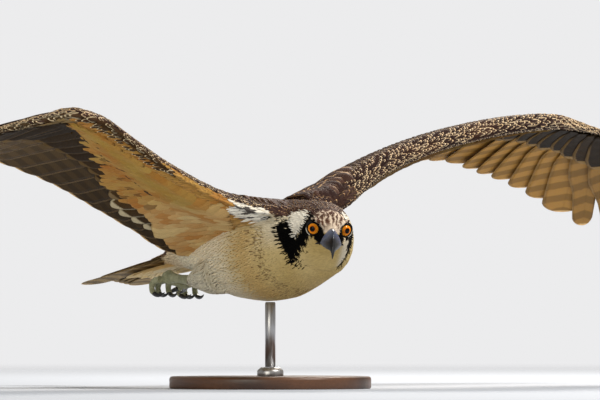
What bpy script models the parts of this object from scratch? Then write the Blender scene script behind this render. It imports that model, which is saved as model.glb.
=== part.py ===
"""Life-size osprey gliding on a plain display stand.

Metres, +Z up. The bird heads along -Y, its left wing reaches to +X, and the
origin is the middle of the base's underside. Most sizes are given in the
bird's own frame (left, back, up), measured from the middle of its back,
between the shoulders, and the pose then tips that frame.
"""
import math
import random

import bmesh
import bpy
from mathutils import Matrix, Vector

GAP = 0.0003
CHANCE = random.Random(11)

# Pose of the whole bird
BACK_HEIGHT = 0.200
BACK_FORWARD = 0.055
NOSE_UP = math.radians(7.0)
RIGHT_WING_UP = math.radians(0.8)

# Pose of the head, whose origin is midway between the pupils
EYE_POINT = Vector((-0.031, -0.107, -0.019))
HEAD_TURN = math.radians(-29.5)
HEAD_DOWN = math.radians(12.0)
HEAD_ROLL = math.radians(3.3)

# Torso sections: back, top, bottom, half width
TORSO_FRONT = -0.035
TORSO_END = 0.215
TORSO_SIZES = (
    (-0.060, 0.006, -0.074, 0.042),
    (-0.020, 0.014, -0.085, 0.050),
    (0.040, 0.020, -0.096, 0.060),
    (0.100, 0.014, -0.089, 0.056),
    (0.145, 0.006, -0.073, 0.048),
    (0.172, 0.002, -0.055, 0.042),
    (0.200, -0.003, -0.044, 0.034),
    (0.240, -0.008, -0.035, 0.024),
    (0.262, -0.014, -0.030, 0.014),
)
BODY_SIDES = 20

# Head sections: back of the pupils, top, bottom, half width
HEAD_FRONT = -0.0205
HEAD_END = 0.030
HEAD_SIZES = (
    (-0.0230, 0.0040, -0.0150, 0.0080),
    (-0.0205, 0.0065, -0.0170, 0.0092),
    (-0.0130, 0.0130, -0.0215, 0.0128),
    (-0.0050, 0.0175, -0.0255, 0.0180),
    (0.0040, 0.0203, -0.0310, 0.0232),
    (0.0120, 0.0212, -0.0390, 0.0262),
    (0.0210, 0.0205, -0.0480, 0.0277),
    (0.0300, 0.0180, -0.0555, 0.0282),
    (0.0400, 0.0140, -0.0600, 0.0285),
)
EYE_RADIUS = 0.0085
EYE_ASIDE = 0.0155
EYE_BACK = 0.0072
EYE_TURN = math.radians(32.0)
LID_ANGLE = math.radians(46.0)
LID_RADIUS = 0.0016

# Bill rings: back, top, bottom, half width
UPPER_BILL = (
    (-0.0208, 0.0064, -0.0108, 0.0090),
    (-0.0270, 0.0070, -0.0115, 0.0082),
    (-0.0340, 0.0064, -0.0122, 0.0070),
    (-0.0400, 0.0035, -0.0130, 0.0056),
    (-0.0450, -0.0020, -0.0145, 0.0041),
    (-0.0480, -0.0090, -0.0170, 0.0027),
    (-0.0488, -0.0165, -0.0205, 0.0015),
)
BILL_TIP = Vector((0.0, -0.0475, -0.0250))
LOWER_BILL = (
    (-0.0208, -0.0118, -0.0178, 0.0080),
    (-0.0280, -0.0126, -0.0186, 0.0066),
    (-0.0350, -0.0136, -0.0188, 0.0046),
    (-0.0405, -0.0148, -0.0182, 0.0020),
)

# Wing: feather number, left, back, up of the leading edge (left, right wing)
FEATHERS = 24
FIRST_HAND = 14
LEADING = (
    (-3, 0.010, -0.024, -0.004, -0.006),
    (0, 0.050, -0.028, 0.0075, -0.0060),
    (2, 0.085, -0.024, 0.0300, -0.0010),
    (4, 0.122, -0.020, 0.0500, 0.0095),
    (7, 0.185, -0.025, 0.0735, 0.0350),
    (10, 0.248, -0.042, 0.0892, 0.0635),
    (12, 0.290, -0.056, 0.0962, 0.0845),
    (13, 0.311, -0.061, 0.0985, 0.0930),
    (14, 0.330, -0.061, 0.0997, 0.0985),
    (15, 0.344, -0.056, 0.1000, 0.0990),
    (16, 0.357, -0.050, 0.0998, 0.0965),
    (18, 0.383, -0.038, 0.0990, 0.0925),
    (20, 0.409, -0.025, 0.0980, 0.0870),
    (23, 0.447, -0.006, 0.0965, 0.0780),
)
# The same for the tips of the flight feathers
TRAILING = (
    (-3, 0.020, 0.185, -0.022, -0.034),
    (0, 0.064, 0.193, 0.002, -0.016),
    (2, 0.100, 0.191, 0.022, 0.005),
    (4, 0.143, 0.188, 0.040, 0.026),
    (7, 0.209, 0.183, 0.064, 0.054),
    (10, 0.286, 0.180, 0.084, 0.077),
    (12, 0.331, 0.176, 0.087, 0.080),
    (14, 0.3815, 0.182, 0.0785, 0.065),
    (16, 0.4385, 0.200, 0.069, 0.048),
    (18, 0.511, 0.228, 0.0515, 0.021),
    (20, 0.590, 0.262, 0.0250, -0.0155),
    (21, 0.640, 0.266, 0.0135, -0.0315),
    (22, 0.672, 0.240, 0.0135, -0.0330),
    (23, 0.668, 0.195, 0.0260, -0.0190),
)
# Share of the chord that is flesh and small coverts, and its thickness
FLESH = (
    (-3, 0.62, 0.038),
    (0, 0.60, 0.036),
    (4, 0.55, 0.030),
    (7, 0.47, 0.027),
    (10, 0.36, 0.025),
    (13, 0.23, 0.023),
    (14, 0.19, 0.021),
    (17, 0.12, 0.015),
    (20, 0.075, 0.011),
    (23, 0.05, 0.007),
)
LEFT_CAMBER = 0.014
RIGHT_CAMBER = 0.009

# Outline of a vane: place along it, share of its half width on the outer and the inner edge
VANE_OUTLINE = ((0.0, 0.42, 0.42), (0.45, 0.88, 0.96), (0.86, 0.86, 0.96),
                (0.97, 0.50, 0.66), (1.0, 0.16, 0.26))
FINGER_OUTLINE = ((0.0, 0.42, 0.42), (0.28, 0.80, 0.95), (0.52, 0.72, 0.90), (0.70, 0.44, 0.60),
                  (0.92, 0.36, 0.48), (1.0, 0.08, 0.14))
COVERT_OUTLINE = ((0.0, 0.50, 0.50), (0.45, 0.90, 0.95), (0.86, 0.80, 0.90), (1.0, 0.18, 0.28))

# Vanes: thickness at root and tip, half width as a share of the spacing
VANE_ROOT_THICK = 0.0011
VANE_TIP_THICK = 0.0006
VANE_HALF_WIDTH = 0.96
VANE_WIDEST = 0.024
FIRST_TERTIAL = -1
LAST_OF_ARM = 13
FIRST_FINGER = 20
COVERTS = 16
# The wrist parts arm from hand between two feathers
WRIST = 13.5
FLESH_PLACES = (-2, 0, 2, 4, 6, 8, 10, 11.5, 12.5, 13.5, 14.5, 16, 18, 20, 22, 23.3)
SHINGLE_ARM = math.radians(5.0)
SHINGLE_HAND = math.radians(8.0)
# Upper and under greater coverts: distance off the flight feathers and share of the chord reached
COVERT_LIFT = 0.0052
# How much feathers differ: length, width, and tilt in radians
UNEVEN_LENGTH = 0.010
UNEVEN_WIDTH = 0.04
UNEVEN_TILT = 0.006
UPPER_REACH = ((0, 0.80), (5, 0.74), (10, 0.66), (14, 0.50), (18, 0.38), (23, 0.30))
UNDER_REACH = ((0, 0.76), (5, 0.70), (10, 0.62), (14, 0.48), (18, 0.36), (23, 0.28))

# Tail
TAIL_FEATHERS = 12
TAIL_ROOT = Vector((0.0, 0.226, -0.016))
TAIL_LENGTH = 0.165
TAIL_DROP = math.radians(4.5)
TAIL_SPREAD = 0.036
TAIL_ROOT_SPREAD = 0.010
TAIL_CORNER_SHORT = 0.006
RECTRIX_HALF_WIDTH = 0.0165
RECTRIX_STEP = 0.0014
# Coverts over and under the tail: height of the middle ones, reach, step to the next ones
TAIL_COVERTS = ((0.0040, 0.062, -0.0018), (-0.0105, 0.088, -0.0022))
COVERTS_OF_TAIL = 4
COVERT_HALF_WIDTH = 0.013

# Legs: hip, heel and foot of the right one, then of the left one, which trails further back
RIGHT_LEG = (Vector((-0.034, 0.108, -0.056)), Vector((-0.037, 0.167, -0.0575)), Vector((-0.031, 0.214, -0.0490)))
LEFT_LEG = (Vector((0.034, 0.112, -0.054)), Vector((0.034, 0.188, -0.0530)), Vector((0.024, 0.240, -0.0475)))
TARSUS_RADIUS = 0.0055
TOE_RADIUS = 0.0046
TOE_CURL = 0.0078
CLAW_LENGTH = 0.020
CLAW_TURN = math.radians(70)
# Toes: name, place of the root, heading, axis of the curl, straight length, turn in degrees
TOES = (
    ("inner", Vector((0.0096, 0.009, -0.001)), Vector((0.12, 1.0, -0.05)), Vector((-1, 0.12, 0)), 0.008, 140),
    ("middle", Vector((0.0, 0.010, -0.001)), Vector((0.0, 1.0, 0.0)), Vector((-1, 0, 0)), 0.011, 145),
    ("outer", Vector((-0.0096, 0.009, -0.001)), Vector((-0.12, 1.0, -0.05)), Vector((-1, -0.12, 0)), 0.008, 140),
    ("hind", Vector((0.0030, 0.006, -0.003)), Vector((1.0, -0.10, -0.30)), Vector((0, 0, 1)), 0.015, 55),
)

# Stand
BASE_RADIUS = 0.115
BASE_THICK = 0.014
ROD_RADIUS = 0.006
COLLAR_RADIUS = 0.015
COLLAR_HEIGHT = 0.010


def clear_scene():
    for thing in list(bpy.data.objects):
        bpy.data.objects.remove(thing, do_unlink=True)


clear_scene()
OSPREY = bpy.data.collections.new("osprey")
CUTTERS = bpy.data.collections.new("cutters")
bpy.context.scene.collection.children.link(OSPREY)
bpy.context.scene.collection.children.link(CUTTERS)

BACK = Vector((0.0, -BACK_FORWARD, BACK_HEIGHT))
POSE = (Matrix.Translation(BACK) @ Matrix.Rotation(RIGHT_WING_UP, 4, "Y")
        @ Matrix.Rotation(-NOSE_UP, 4, "X"))
HEAD = (Matrix.Translation(BACK + EYE_POINT) @ Matrix.Rotation(HEAD_TURN, 4, "Z")
        @ Matrix.Rotation(HEAD_DOWN, 4, "X") @ Matrix.Rotation(HEAD_ROLL, 4, "Y"))


def along(keys, at):
    """Smooth curve through keys of (place, value, ...), read at one place."""
    last = len(keys) - 1
    at = min(max(at, keys[0][0]), keys[last][0])
    low = 0
    while low < last - 1 and at > keys[low + 1][0]:
        low += 1

    def slope(index, item):
        before, after = max(index - 1, 0), min(index + 1, last)
        return (keys[after][item] - keys[before][item]) / (keys[after][0] - keys[before][0])

    width = keys[low + 1][0] - keys[low][0]
    t = (at - keys[low][0]) / width
    values = []
    for item in range(1, len(keys[0])):
        value = (2 * t**3 - 3 * t**2 + 1) * keys[low][item]
        value += (t**3 - 2 * t**2 + t) * width * slope(low, item)
        value += (3 * t**2 - 2 * t**3) * keys[low + 1][item]
        value += (t**3 - t**2) * width * slope(low + 1, item)
        values.append(value)
    return values


def material(name, colour, roughness=0.8, metallic=0.0):
    mat = bpy.data.materials.get(name)
    if mat is None:
        mat = bpy.data.materials.new(name)
        mat.use_nodes = True
        shader = mat.node_tree.nodes["Principled BSDF"]
        shader.inputs["Base Color"].default_value = (*colour, 1.0)
        shader.inputs["Roughness"].default_value = roughness
        shader.inputs["Metallic"].default_value = metallic
    return mat


BROWN = material("brown_feathers", (0.075, 0.045, 0.028))
CREAM = material("cream_feathers", (0.62, 0.52, 0.36))
WHITE = material("white_feathers", (0.80, 0.76, 0.66))
BILL_GREY = material("blue_grey_bill", (0.05, 0.06, 0.08), 0.35)
IRIS = material("amber_eye", (0.75, 0.27, 0.03), 0.1)
FOOT_GREY = material("grey_green_skin", (0.30, 0.34, 0.30), 0.6)
CLAW_BLACK = material("black_claw", (0.02, 0.02, 0.022), 0.3)
WOOD = material("dark_wood", (0.16, 0.09, 0.05), 0.5)
STEEL = material("brushed_steel", (0.60, 0.60, 0.60), 0.35, 1.0)


def mesh_object(name, bm, collection=CUTTERS):
    bmesh.ops.recalc_face_normals(bm, faces=bm.faces)
    mesh = bpy.data.meshes.new(name)
    bm.to_mesh(mesh)
    bm.free()
    thing = bpy.data.objects.new(name, mesh)
    collection.objects.link(thing)
    return thing


def loft(name, rings):
    """Closed skin over rings of points, with flat ends."""
    bm = bmesh.new()
    rows = [[bm.verts.new(point) for point in ring] for ring in rings]
    count = len(rings[0])
    for near, far in zip(rows, rows[1:]):
        for k in range(count):
            n = (k + 1) % count
            bm.faces.new((near[k], near[n], far[n]))
            bm.faces.new((near[k], far[n], far[k]))
    bm.faces.new(rows[0])
    bm.faces.new(rows[-1])
    return mesh_object(name, bm)


def oval(half_width, top, bottom, sides, fullness=1.0):
    """Points (aside, up) round a section that is widest between top and bottom."""
    middle = (top + bottom) / 2
    half = (top - bottom) / 2
    points = []
    for k in range(sides):
        angle = 2 * math.pi * k / sides
        c, s = math.cos(angle), math.sin(angle)
        aside = math.copysign(abs(c) ** fullness, c) * half_width
        up = middle + math.copysign(abs(s) ** fullness, s) * half
        points.append((aside, up))
    return points


def tube(name, points, radii, sides=8, start_way=None, end_way=None):
    """Closed round tube through points, with one radius at each and square ends."""
    rings = []
    normal = None
    for k, point in enumerate(points):
        ahead = points[min(k + 1, len(points) - 1)] - points[max(k - 1, 0)]
        if k == 0 and start_way:
            ahead = start_way.copy()
        if k == len(points) - 1 and end_way:
            ahead = end_way.copy()
        ahead.normalize()
        if normal is None:
            normal = ahead.orthogonal().normalized()
        normal = (normal - ahead * normal.dot(ahead)).normalized()
        side = ahead.cross(normal)
        ring = []
        for j in range(sides):
            angle = 2 * math.pi * j / sides
            ring.append(point + (normal * math.cos(angle) + side * math.sin(angle)) * radii[k])
        rings.append(ring)
    return loft(name, rings)


def ball(name, centre, size, turn=None, segments=12):
    bm = bmesh.new()
    bmesh.ops.create_uvsphere(bm, u_segments=segments, v_segments=max(6, segments * 2 // 3), radius=1.0)
    frame = Matrix.Translation(centre) @ (turn or Matrix.Identity(4)) @ Matrix.Diagonal((*size, 1.0))
    bmesh.ops.transform(bm, matrix=frame, verts=bm.verts)
    return mesh_object(name, bm)


def rod(name, start, end, radius, sides=16):
    return tube(name, [start, end], [radius, radius], sides)


def settle(thing):
    """Make the mesh that the modifiers give the object's own."""
    bpy.context.view_layer.update()
    graph = bpy.context.evaluated_depsgraph_get()
    mesh = bpy.data.meshes.new_from_object(thing.evaluated_get(graph))
    thing.modifiers.clear()
    thing.data = mesh


def keep_largest(thing):
    """Keep only the largest closed surface of the mesh."""
    bm = bmesh.new()
    bm.from_mesh(thing.data)
    groups = []
    left = set(bm.verts)
    while left:
        seed = left.pop()
        group, queue = {seed}, [seed]
        while queue:
            for edge in queue.pop().link_edges:
                for vert in edge.verts:
                    if vert in left:
                        left.remove(vert)
                        group.add(vert)
                        queue.append(vert)
        groups.append(group)

    def extent(group):
        low = [min(v.co[k] for v in group) for k in range(3)]
        high = [max(v.co[k] for v in group) for k in range(3)]
        return math.dist(low, high)

    groups.sort(key=extent, reverse=True)
    for group in groups[1:]:
        bmesh.ops.delete(bm, geom=list(group), context="VERTS")
    bm.to_mesh(thing.data)
    bm.free()


def fuse(thing, pieces, solver="MANIFOLD"):
    """Join closed pieces to a node by one union, and drop them."""
    group = bpy.data.collections.new("pieces")
    for piece in pieces:
        CUTTERS.objects.unlink(piece)
        group.objects.link(piece)
    union = thing.modifiers.new("union", "BOOLEAN")
    union.operation = "UNION"
    union.operand_type = "COLLECTION"
    union.collection = group
    union.solver = solver
    settle(thing)
    for piece in list(group.objects):
        bpy.data.objects.remove(piece, do_unlink=True)
    bpy.data.collections.remove(group)
    keep_largest(thing)


def cut(thing, cutter, keep_cutter=False, solver="MANIFOLD"):
    difference = thing.modifiers.new("difference", "BOOLEAN")
    difference.operation = "DIFFERENCE"
    difference.object = cutter
    difference.solver = solver
    settle(thing)
    if not keep_cutter:
        bpy.data.objects.remove(cutter, do_unlink=True)
    keep_largest(thing)


def finish(thing, name, mat, origin):
    """Name a node, give it its material and set its origin."""
    thing.name = name
    thing.data.name = name
    thing.data.materials.clear()
    thing.data.materials.append(mat)
    thing.data.transform(Matrix.Translation(-origin))
    thing.location = origin
    CUTTERS.objects.unlink(thing)
    OSPREY.objects.link(thing)
    thing.data.shade_smooth()
    thing.data.set_sharp_from_angle(angle=math.radians(40))
    return thing


def torso_ring(back, grow=0.0):
    top, bottom, half = along(TORSO_SIZES, back)
    points = oval(half + grow, top + grow, bottom - grow, BODY_SIDES, 0.95)
    return [POSE @ Vector((x, back, z)) for x, z in points]


def head_ring(back, grow=0.0):
    top, bottom, half = along(HEAD_SIZES, back)
    points = oval(half + grow, top + grow, bottom - grow, BODY_SIDES, 0.95)
    return [HEAD @ Vector((x, back, z)) for x, z in points]


TORSO_STEPS = 14
TORSO_PLACES = [TORSO_FRONT + (TORSO_END - TORSO_FRONT) * k / TORSO_STEPS for k in range(TORSO_STEPS + 1)]
RUMP_PLACES = (0.228, 0.240, 0.252, 0.262)


def body_room(name):
    """The torso and rump, larger all round by the gap that neighbours keep."""
    places = [TORSO_FRONT - 0.004] + TORSO_PLACES + list(RUMP_PLACES)
    return loft(name, [torso_ring(back, GAP) for back in places])


def neck_form(name, grow=0.0, shrink=GAP / 2):
    """Neck that leaves the torso's front and turns into the back of the head."""
    steps = 6
    torso = torso_ring(TORSO_FRONT - shrink, grow)
    head = head_ring(HEAD_END + shrink, grow)
    out = POSE.to_3x3() @ Vector((0, -1, 0))
    into = HEAD.to_3x3() @ Vector((0, -1, 0))
    rings = []
    for k in range(steps + 1):
        t = k / steps
        ring = []
        for a, b in zip(torso, head):
            reach = (b - a).length
            point = a * (2 * t**3 - 3 * t**2 + 1) + b * (3 * t**2 - 2 * t**3)
            point += out * reach * (t**3 - 2 * t**2 + t) + into * reach * (t**3 - t**2)
            ring.append(point)
        rings.append(ring)
    return loft(name, rings)


def make_body():
    torso = loft("torso_form", [torso_ring(back) for back in TORSO_PLACES])
    finish(torso, "torso", CREAM, BACK)
    neck = neck_form("neck_form")
    finish(neck, "neck", WHITE, POSE @ Vector((0, TORSO_FRONT, -0.035)))


def eye_frame(side):
    """Frame of one eye, whose -Y looks out of the pupil."""
    centre = Matrix.Translation(Vector((side * EYE_ASIDE, EYE_BACK, 0)))
    return HEAD @ centre @ Matrix.Rotation(side * EYE_TURN, 4, "Z")


def lid_ring(name, frame):
    """Ring of lid round the eye's opening."""
    major, minor, turns, sides = EYE_RADIUS * math.sin(LID_ANGLE), LID_RADIUS, 16, 6
    out = EYE_RADIUS * math.cos(LID_ANGLE)
    bm = bmesh.new()
    rows = []
    for k in range(turns):
        around = 2 * math.pi * k / turns
        row = []
        for j in range(sides):
            angle = 2 * math.pi * j / sides
            reach = major + 0.0004 + minor * math.cos(angle)
            place = Vector((math.cos(around) * reach, -out - minor * math.sin(angle),
                            math.sin(around) * reach * 0.94))
            row.append(bm.verts.new(frame @ place))
        rows.append(row)
    for k in range(turns):
        near, far = rows[k], rows[(k + 1) % turns]
        for j in range(sides):
            n = (j + 1) % sides
            bm.faces.new((near[j], near[n], far[n], far[j]))
    return mesh_object(name, bm)


def make_head():
    steps = 9
    places = [HEAD_FRONT + (HEAD_END - GAP / 2 - HEAD_FRONT) * k / steps for k in range(steps + 1)]
    head = loft("head_form", [head_ring(back) for back in places])
    extra = []
    for side in (-1, 1):
        brow = [HEAD @ Vector((side * x, y, z)) for x, y, z in
                ((0.0085, -0.0120, 0.0085), (0.0145, -0.0070, 0.0105),
                 (0.0195, 0.0010, 0.0110), (0.0225, 0.0100, 0.0105))]
        extra.append(tube("brow", brow, [0.0020, 0.0031, 0.0032, 0.0022]))
    fuse(head, extra)
    for side in (-1, 1):
        frame = eye_frame(side)
        out = EYE_RADIUS * math.cos(LID_ANGLE) - 0.0005
        socket = tube("socket", [frame @ Vector((0, -out, 0)), frame @ Vector((0, -out - 0.012, 0))],
                      [0.0078, 0.0120], 16)
        cut(head, socket)
    fuse(head, [lid_ring("lid", eye_frame(side)) for side in (-1, 1)])
    lips = []
    for side in (-1, 1):
        for above in (0.0011, -0.0011):
            line = [HEAD @ Vector((side * x, y, z + above)) for x, y, z in
                    ((0.0078, -0.0200, -0.0116), (0.0118, -0.0145, -0.0128),
                     (0.0150, -0.0090, -0.0145), (0.0162, -0.0050, -0.0160))]
            lips.append(tube("lip", line, [0.0010, 0.0012, 0.0012, 0.0008], 6))
    fuse(head, lips)
    for side in (-1, 1):
        line = [HEAD @ Vector((side * x, y, z)) for x, y, z in
                ((0.0100, -0.0230, -0.0114), (0.0130, -0.0145, -0.0128),
                 (0.0172, -0.0090, -0.0145), (0.0190, -0.0055, -0.0158))]
        cut(head, tube("mouth_line", line, [0.0005, 0.0005, 0.0005, 0.0003], 6))
        frame = eye_frame(side)
        cut(head, ball("eye_room", frame.translation, [EYE_RADIUS + GAP] * 3, frame.to_3x3().to_4x4(), 16))
    finish(head, "head", WHITE, HEAD.translation.copy())
    for side, name in ((-1, "eye_right"), (1, "eye_left")):
        frame = eye_frame(side)
        turn = frame.to_3x3().to_4x4() @ Matrix.Rotation(math.pi / 2, 4, "X")
        eye = ball("eye_form", frame.translation, [EYE_RADIUS] * 3, turn, 16)
        finish(eye, name, IRIS, frame.translation.copy())


def bill_ring(back, top, bottom, half, upper):
    """D-shaped section, round above and flat below, or the other way up."""
    points = []
    steps = 8
    for k in range(steps + 1):
        angle = math.pi * k / steps
        x = half * math.cos(angle)
        rise = math.sin(angle)
        z = bottom + (top - bottom) * rise if upper else top - (top - bottom) * rise
        points.append(HEAD @ Vector((x, back, z)))
    return points


def make_bill():
    rings = [bill_ring(*sizes, True) for sizes in UPPER_BILL]
    tip = HEAD @ BILL_TIP
    rings.append([tip + (point - rings[-1][0]) * 0.06 for point in rings[-1]])
    upper = loft("upper_form", rings)
    for side in (-1, 1):
        hole = HEAD @ Vector((side * 0.0090, -0.0262, 0.0010))
        ball_turn = HEAD.to_3x3().to_4x4() @ Matrix.Rotation(math.radians(25), 4, "X")
        cut(upper, ball("nostril", hole, (0.0022, 0.0020, 0.0009), ball_turn, 8))
    finish(upper, "bill_upper", BILL_GREY, HEAD @ Vector((0, HEAD_FRONT, 0)))
    lower = loft("lower_form", [bill_ring(*sizes, False) for sizes in LOWER_BILL])
    finish(lower, "bill_lower", BILL_GREY, HEAD @ Vector((0, HEAD_FRONT, -0.015)))


def wing_point(side, number, chord):
    """A point of the wing's middle surface, by feather number and share of the chord."""
    pick = 3 if side > 0 else 4
    lead = along(LEADING, number)
    trail = along(TRAILING, number)
    front = Vector((side * lead[0], lead[1], lead[pick - 1]))
    rear = Vector((side * trail[0], trail[1], trail[pick - 1]))
    fade = 1.0 - max(0.0, number - FIRST_HAND) / (FEATHERS - FIRST_HAND) * 0.6
    camber = LEFT_CAMBER if side > 0 else RIGHT_CAMBER
    rise = camber * fade * math.sin(math.pi * min(chord, 1.0) ** 0.7)
    return front.lerp(rear, chord) + Vector((0, 0, rise))


def wing_normal(side, number, chord):
    step = 0.25
    span = wing_point(side, number + step, chord) - wing_point(side, number - step, chord)
    back = wing_point(side, number, chord + 0.04) - wing_point(side, number, max(chord - 0.04, 0))
    normal = span.cross(back) * side
    return normal.normalized()


# Half thickness round the flesh's section: share of its chord, share of its depth
NOSE_TO_TAIL = ((0.0, 0.0), (0.05, 0.55), (0.20, 0.97), (0.48, 0.90), (0.78, 0.50), (1.0, 0.0))


def wing_ring(side, number, share, depth, edge):
    top, under = [], []
    for along_chord, high in NOSE_TO_TAIL:
        chord = along_chord * share
        middle = wing_point(side, number, chord)
        normal = wing_normal(side, number, chord)
        half = depth / 2 * high + edge * (0.25 if along_chord == 0.0 else 1.0)
        top.append(POSE @ (middle + normal * half))
        under.append(POSE @ (middle - normal * half))
    return top + under[::-1]


def wing_flesh(side, first, last):
    """Arm or hand with its small coverts, between two feather numbers."""
    rings = []
    for number in FLESH_PLACES:
        if first <= number <= last:
            share, depth = along(FLESH, number)
            rings.append(wing_ring(side, number, share, depth, 0.0010))
    return loft("wing_form", rings)


def vane(name, stations):
    """Thin closed blade. A station is (middle, outward edge, inward edge, normal, thickness)."""
    bm = bmesh.new()
    rows = []
    for middle, outer, inner, normal, thick in stations:
        lift = normal * thick / 2
        corners = (middle + outer + lift, middle + inner + lift, middle + inner - lift, middle + outer - lift)
        rows.append([bm.verts.new(POSE @ corner) for corner in corners])
    for near, far in zip(rows, rows[1:]):
        for a, b in ((0, 1), (3, 2)):
            bm.faces.new((near[a], near[b], far[b]))
            bm.faces.new((near[a], far[b], far[a]))
        for a, b in ((1, 2), (3, 0)):
            bm.faces.new((near[a], near[b], far[b], far[a]))
    bm.faces.new(rows[0])
    bm.faces.new(rows[-1])
    return mesh_object(name, bm)


def wing_vane(side, number, start, end, lift, outline, width_share=VANE_HALF_WIDTH):
    """One feather of the wing between two shares of the chord, lifted off the middle surface."""
    hand = min(max((number - 10) / 4, 0.0), 1.0)
    tilt = SHINGLE_ARM + (SHINGLE_HAND - SHINGLE_ARM) * hand + CHANCE.uniform(-UNEVEN_TILT, UNEVEN_TILT)
    width = width_share * (1.0 + CHANCE.uniform(-UNEVEN_WIDTH, UNEVEN_WIDTH))
    end -= CHANCE.uniform(0.0, UNEVEN_LENGTH)
    beyond = 0.5 if number < FEATHERS - 1 else 0.0
    stations = []
    for t, outer_share, inner_share in outline:
        chord = start + (end - start) * t
        middle = wing_point(side, number, chord)
        normal = wing_normal(side, number, min(chord, 0.97))
        span = wing_point(side, number + beyond, chord) - wing_point(side, number - 0.5, chord)
        near, far = max(chord - 0.03, 0.0), min(chord + 0.03, 1.0)
        ahead = wing_point(side, number, far) - wing_point(side, number, near)
        out = ahead.cross(normal).normalized()
        if out.x * side < 0:
            out = -out
        half = min(span.length / (0.5 + beyond) * width, VANE_WIDEST)
        slope = out * math.cos(tilt) + normal * math.sin(tilt)
        face = normal * math.cos(tilt) - out * math.sin(tilt)
        thick = VANE_ROOT_THICK + (VANE_TIP_THICK - VANE_ROOT_THICK) * t
        stations.append((middle + normal * lift, slope * half * outer_share,
                         slope * -half * inner_share, face, thick))
    return vane("vane", stations)


def wrist_cutter(side, towards_tip):
    """All that lies beyond the upright plane through the wrist, on one side of it."""
    front = wing_point(side, WRIST, 0.0)
    rear = wing_point(side, WRIST, 1.0)
    back = Vector((rear.x - front.x, rear.y - front.y, 0)).normalized()
    out = Vector((0, 0, 1)).cross(back)
    if out.x * side < 0:
        out = -out
    if not towards_tip:
        out = -out
    near = front - out * GAP / 2
    rings = []
    for reach in (0.0, 0.5):
        middle = near + out * reach
        corners = ((-0.2, -0.3), (0.5, -0.3), (0.5, 0.3), (-0.2, 0.3))
        rings.append([POSE @ (middle + back * b + Vector((0, 0, up))) for b, up in corners])
    return loft("wrist_cutter", rings)


def make_wing(side, first, last, places, room):
    """Arm or hand of a wing: flesh, flight feathers, greater coverts above and below."""
    wing = wing_flesh(side, *places)
    pieces = []
    for number in range(first, last + 1):
        share = along(FLESH, number)[0]
        outline = FINGER_OUTLINE if number >= FIRST_FINGER else VANE_OUTLINE
        pieces.append(wing_vane(side, number, share * 0.70, 1.0, 0.0, outline))
    for k in range(COVERTS):
        number = (FEATHERS - 1) * k / (COVERTS - 1)
        if first - 0.5 <= number < last + 0.5:
            share = along(FLESH, number)[0]
            width = VANE_HALF_WIDTH * (FEATHERS - 1) / (COVERTS - 1)
            for reach, lift in ((UPPER_REACH, COVERT_LIFT), (UNDER_REACH, -COVERT_LIFT)):
                end = along(reach, number)[0]
                pieces.append(wing_vane(side, number, share * 0.55, end, lift, COVERT_OUTLINE, width))
    fuse(wing, pieces)
    cut(wing, wrist_cutter(side, first == FIRST_TERTIAL))
    cut(wing, room, keep_cutter=True)
    return wing


def make_wings():
    room = body_room("torso_room")
    for side, side_name in ((1, "left"), (-1, "right")):
        arm = make_wing(side, FIRST_TERTIAL, LAST_OF_ARM, (-3, WRIST + 1), room)
        finish(arm, "wing_arm_" + side_name, BROWN, POSE @ Vector((side * 0.045, 0.005, 0.0)))
        hand = make_wing(side, LAST_OF_ARM + 1, FEATHERS - 1, (WRIST - 1, FEATHERS), room)
        finish(hand, "wing_hand_" + side_name, BROWN, POSE @ wing_point(side, WRIST, 0.1))
    bpy.data.objects.remove(room, do_unlink=True)


def tail_vane(aside, reach, spread, half_width, level, outline):
    """One tail feather, flat and level across; aside runs from -1 to 1 over the fan."""
    back = Vector((0, math.cos(TAIL_DROP), -math.sin(TAIL_DROP)))
    normal = Vector((0, math.sin(TAIL_DROP), math.cos(TAIL_DROP)))
    root = TAIL_ROOT + Vector((aside * TAIL_ROOT_SPREAD, 0, 0)) + normal * level
    tip = TAIL_ROOT + Vector((aside * spread, 0, 0)) + normal * level
    tip += back * (reach - abs(aside) * TAIL_CORNER_SHORT - CHANCE.uniform(0.0, UNEVEN_LENGTH) * reach)
    across = (tip - root).cross(normal).normalized()
    stations = []
    for t, outer_share, inner_share in outline:
        thick = VANE_ROOT_THICK + (VANE_TIP_THICK - VANE_ROOT_THICK) * t
        right, left = (outer_share, inner_share) if aside > 0 else (inner_share, outer_share)
        stations.append((root.lerp(tip, t), across * half_width * right, across * -half_width * left,
                         normal, thick))
    return vane("tail_vane", stations)


def make_tail():
    places = [TORSO_END + GAP] + list(RUMP_PLACES)
    base = loft("tail_form", [torso_ring(back) for back in places])
    pieces = []
    for pair in range(TAIL_FEATHERS // 2):
        for side in (-1, 1):
            aside = side * (pair + 0.5) / (TAIL_FEATHERS / 2 - 0.5)
            level = -RECTRIX_STEP * (pair + (0 if side < 0 and pair == 0 else 1))
            pieces.append(tail_vane(aside, TAIL_LENGTH, TAIL_SPREAD, RECTRIX_HALF_WIDTH, level, VANE_OUTLINE))
    for first_level, reach, stack in TAIL_COVERTS:
        for order in range(COVERTS_OF_TAIL):
            aside = 2 * order / (COVERTS_OF_TAIL - 1) - 1
            level = first_level + stack * (abs(aside) + (0.5 if aside > 0 else 0.0))
            pieces.append(tail_vane(aside, reach, TAIL_SPREAD / 2, COVERT_HALF_WIDTH, level, COVERT_OUTLINE))
    fuse(base, pieces)
    finish(base, "tail", BROWN, POSE @ TAIL_ROOT)


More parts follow.
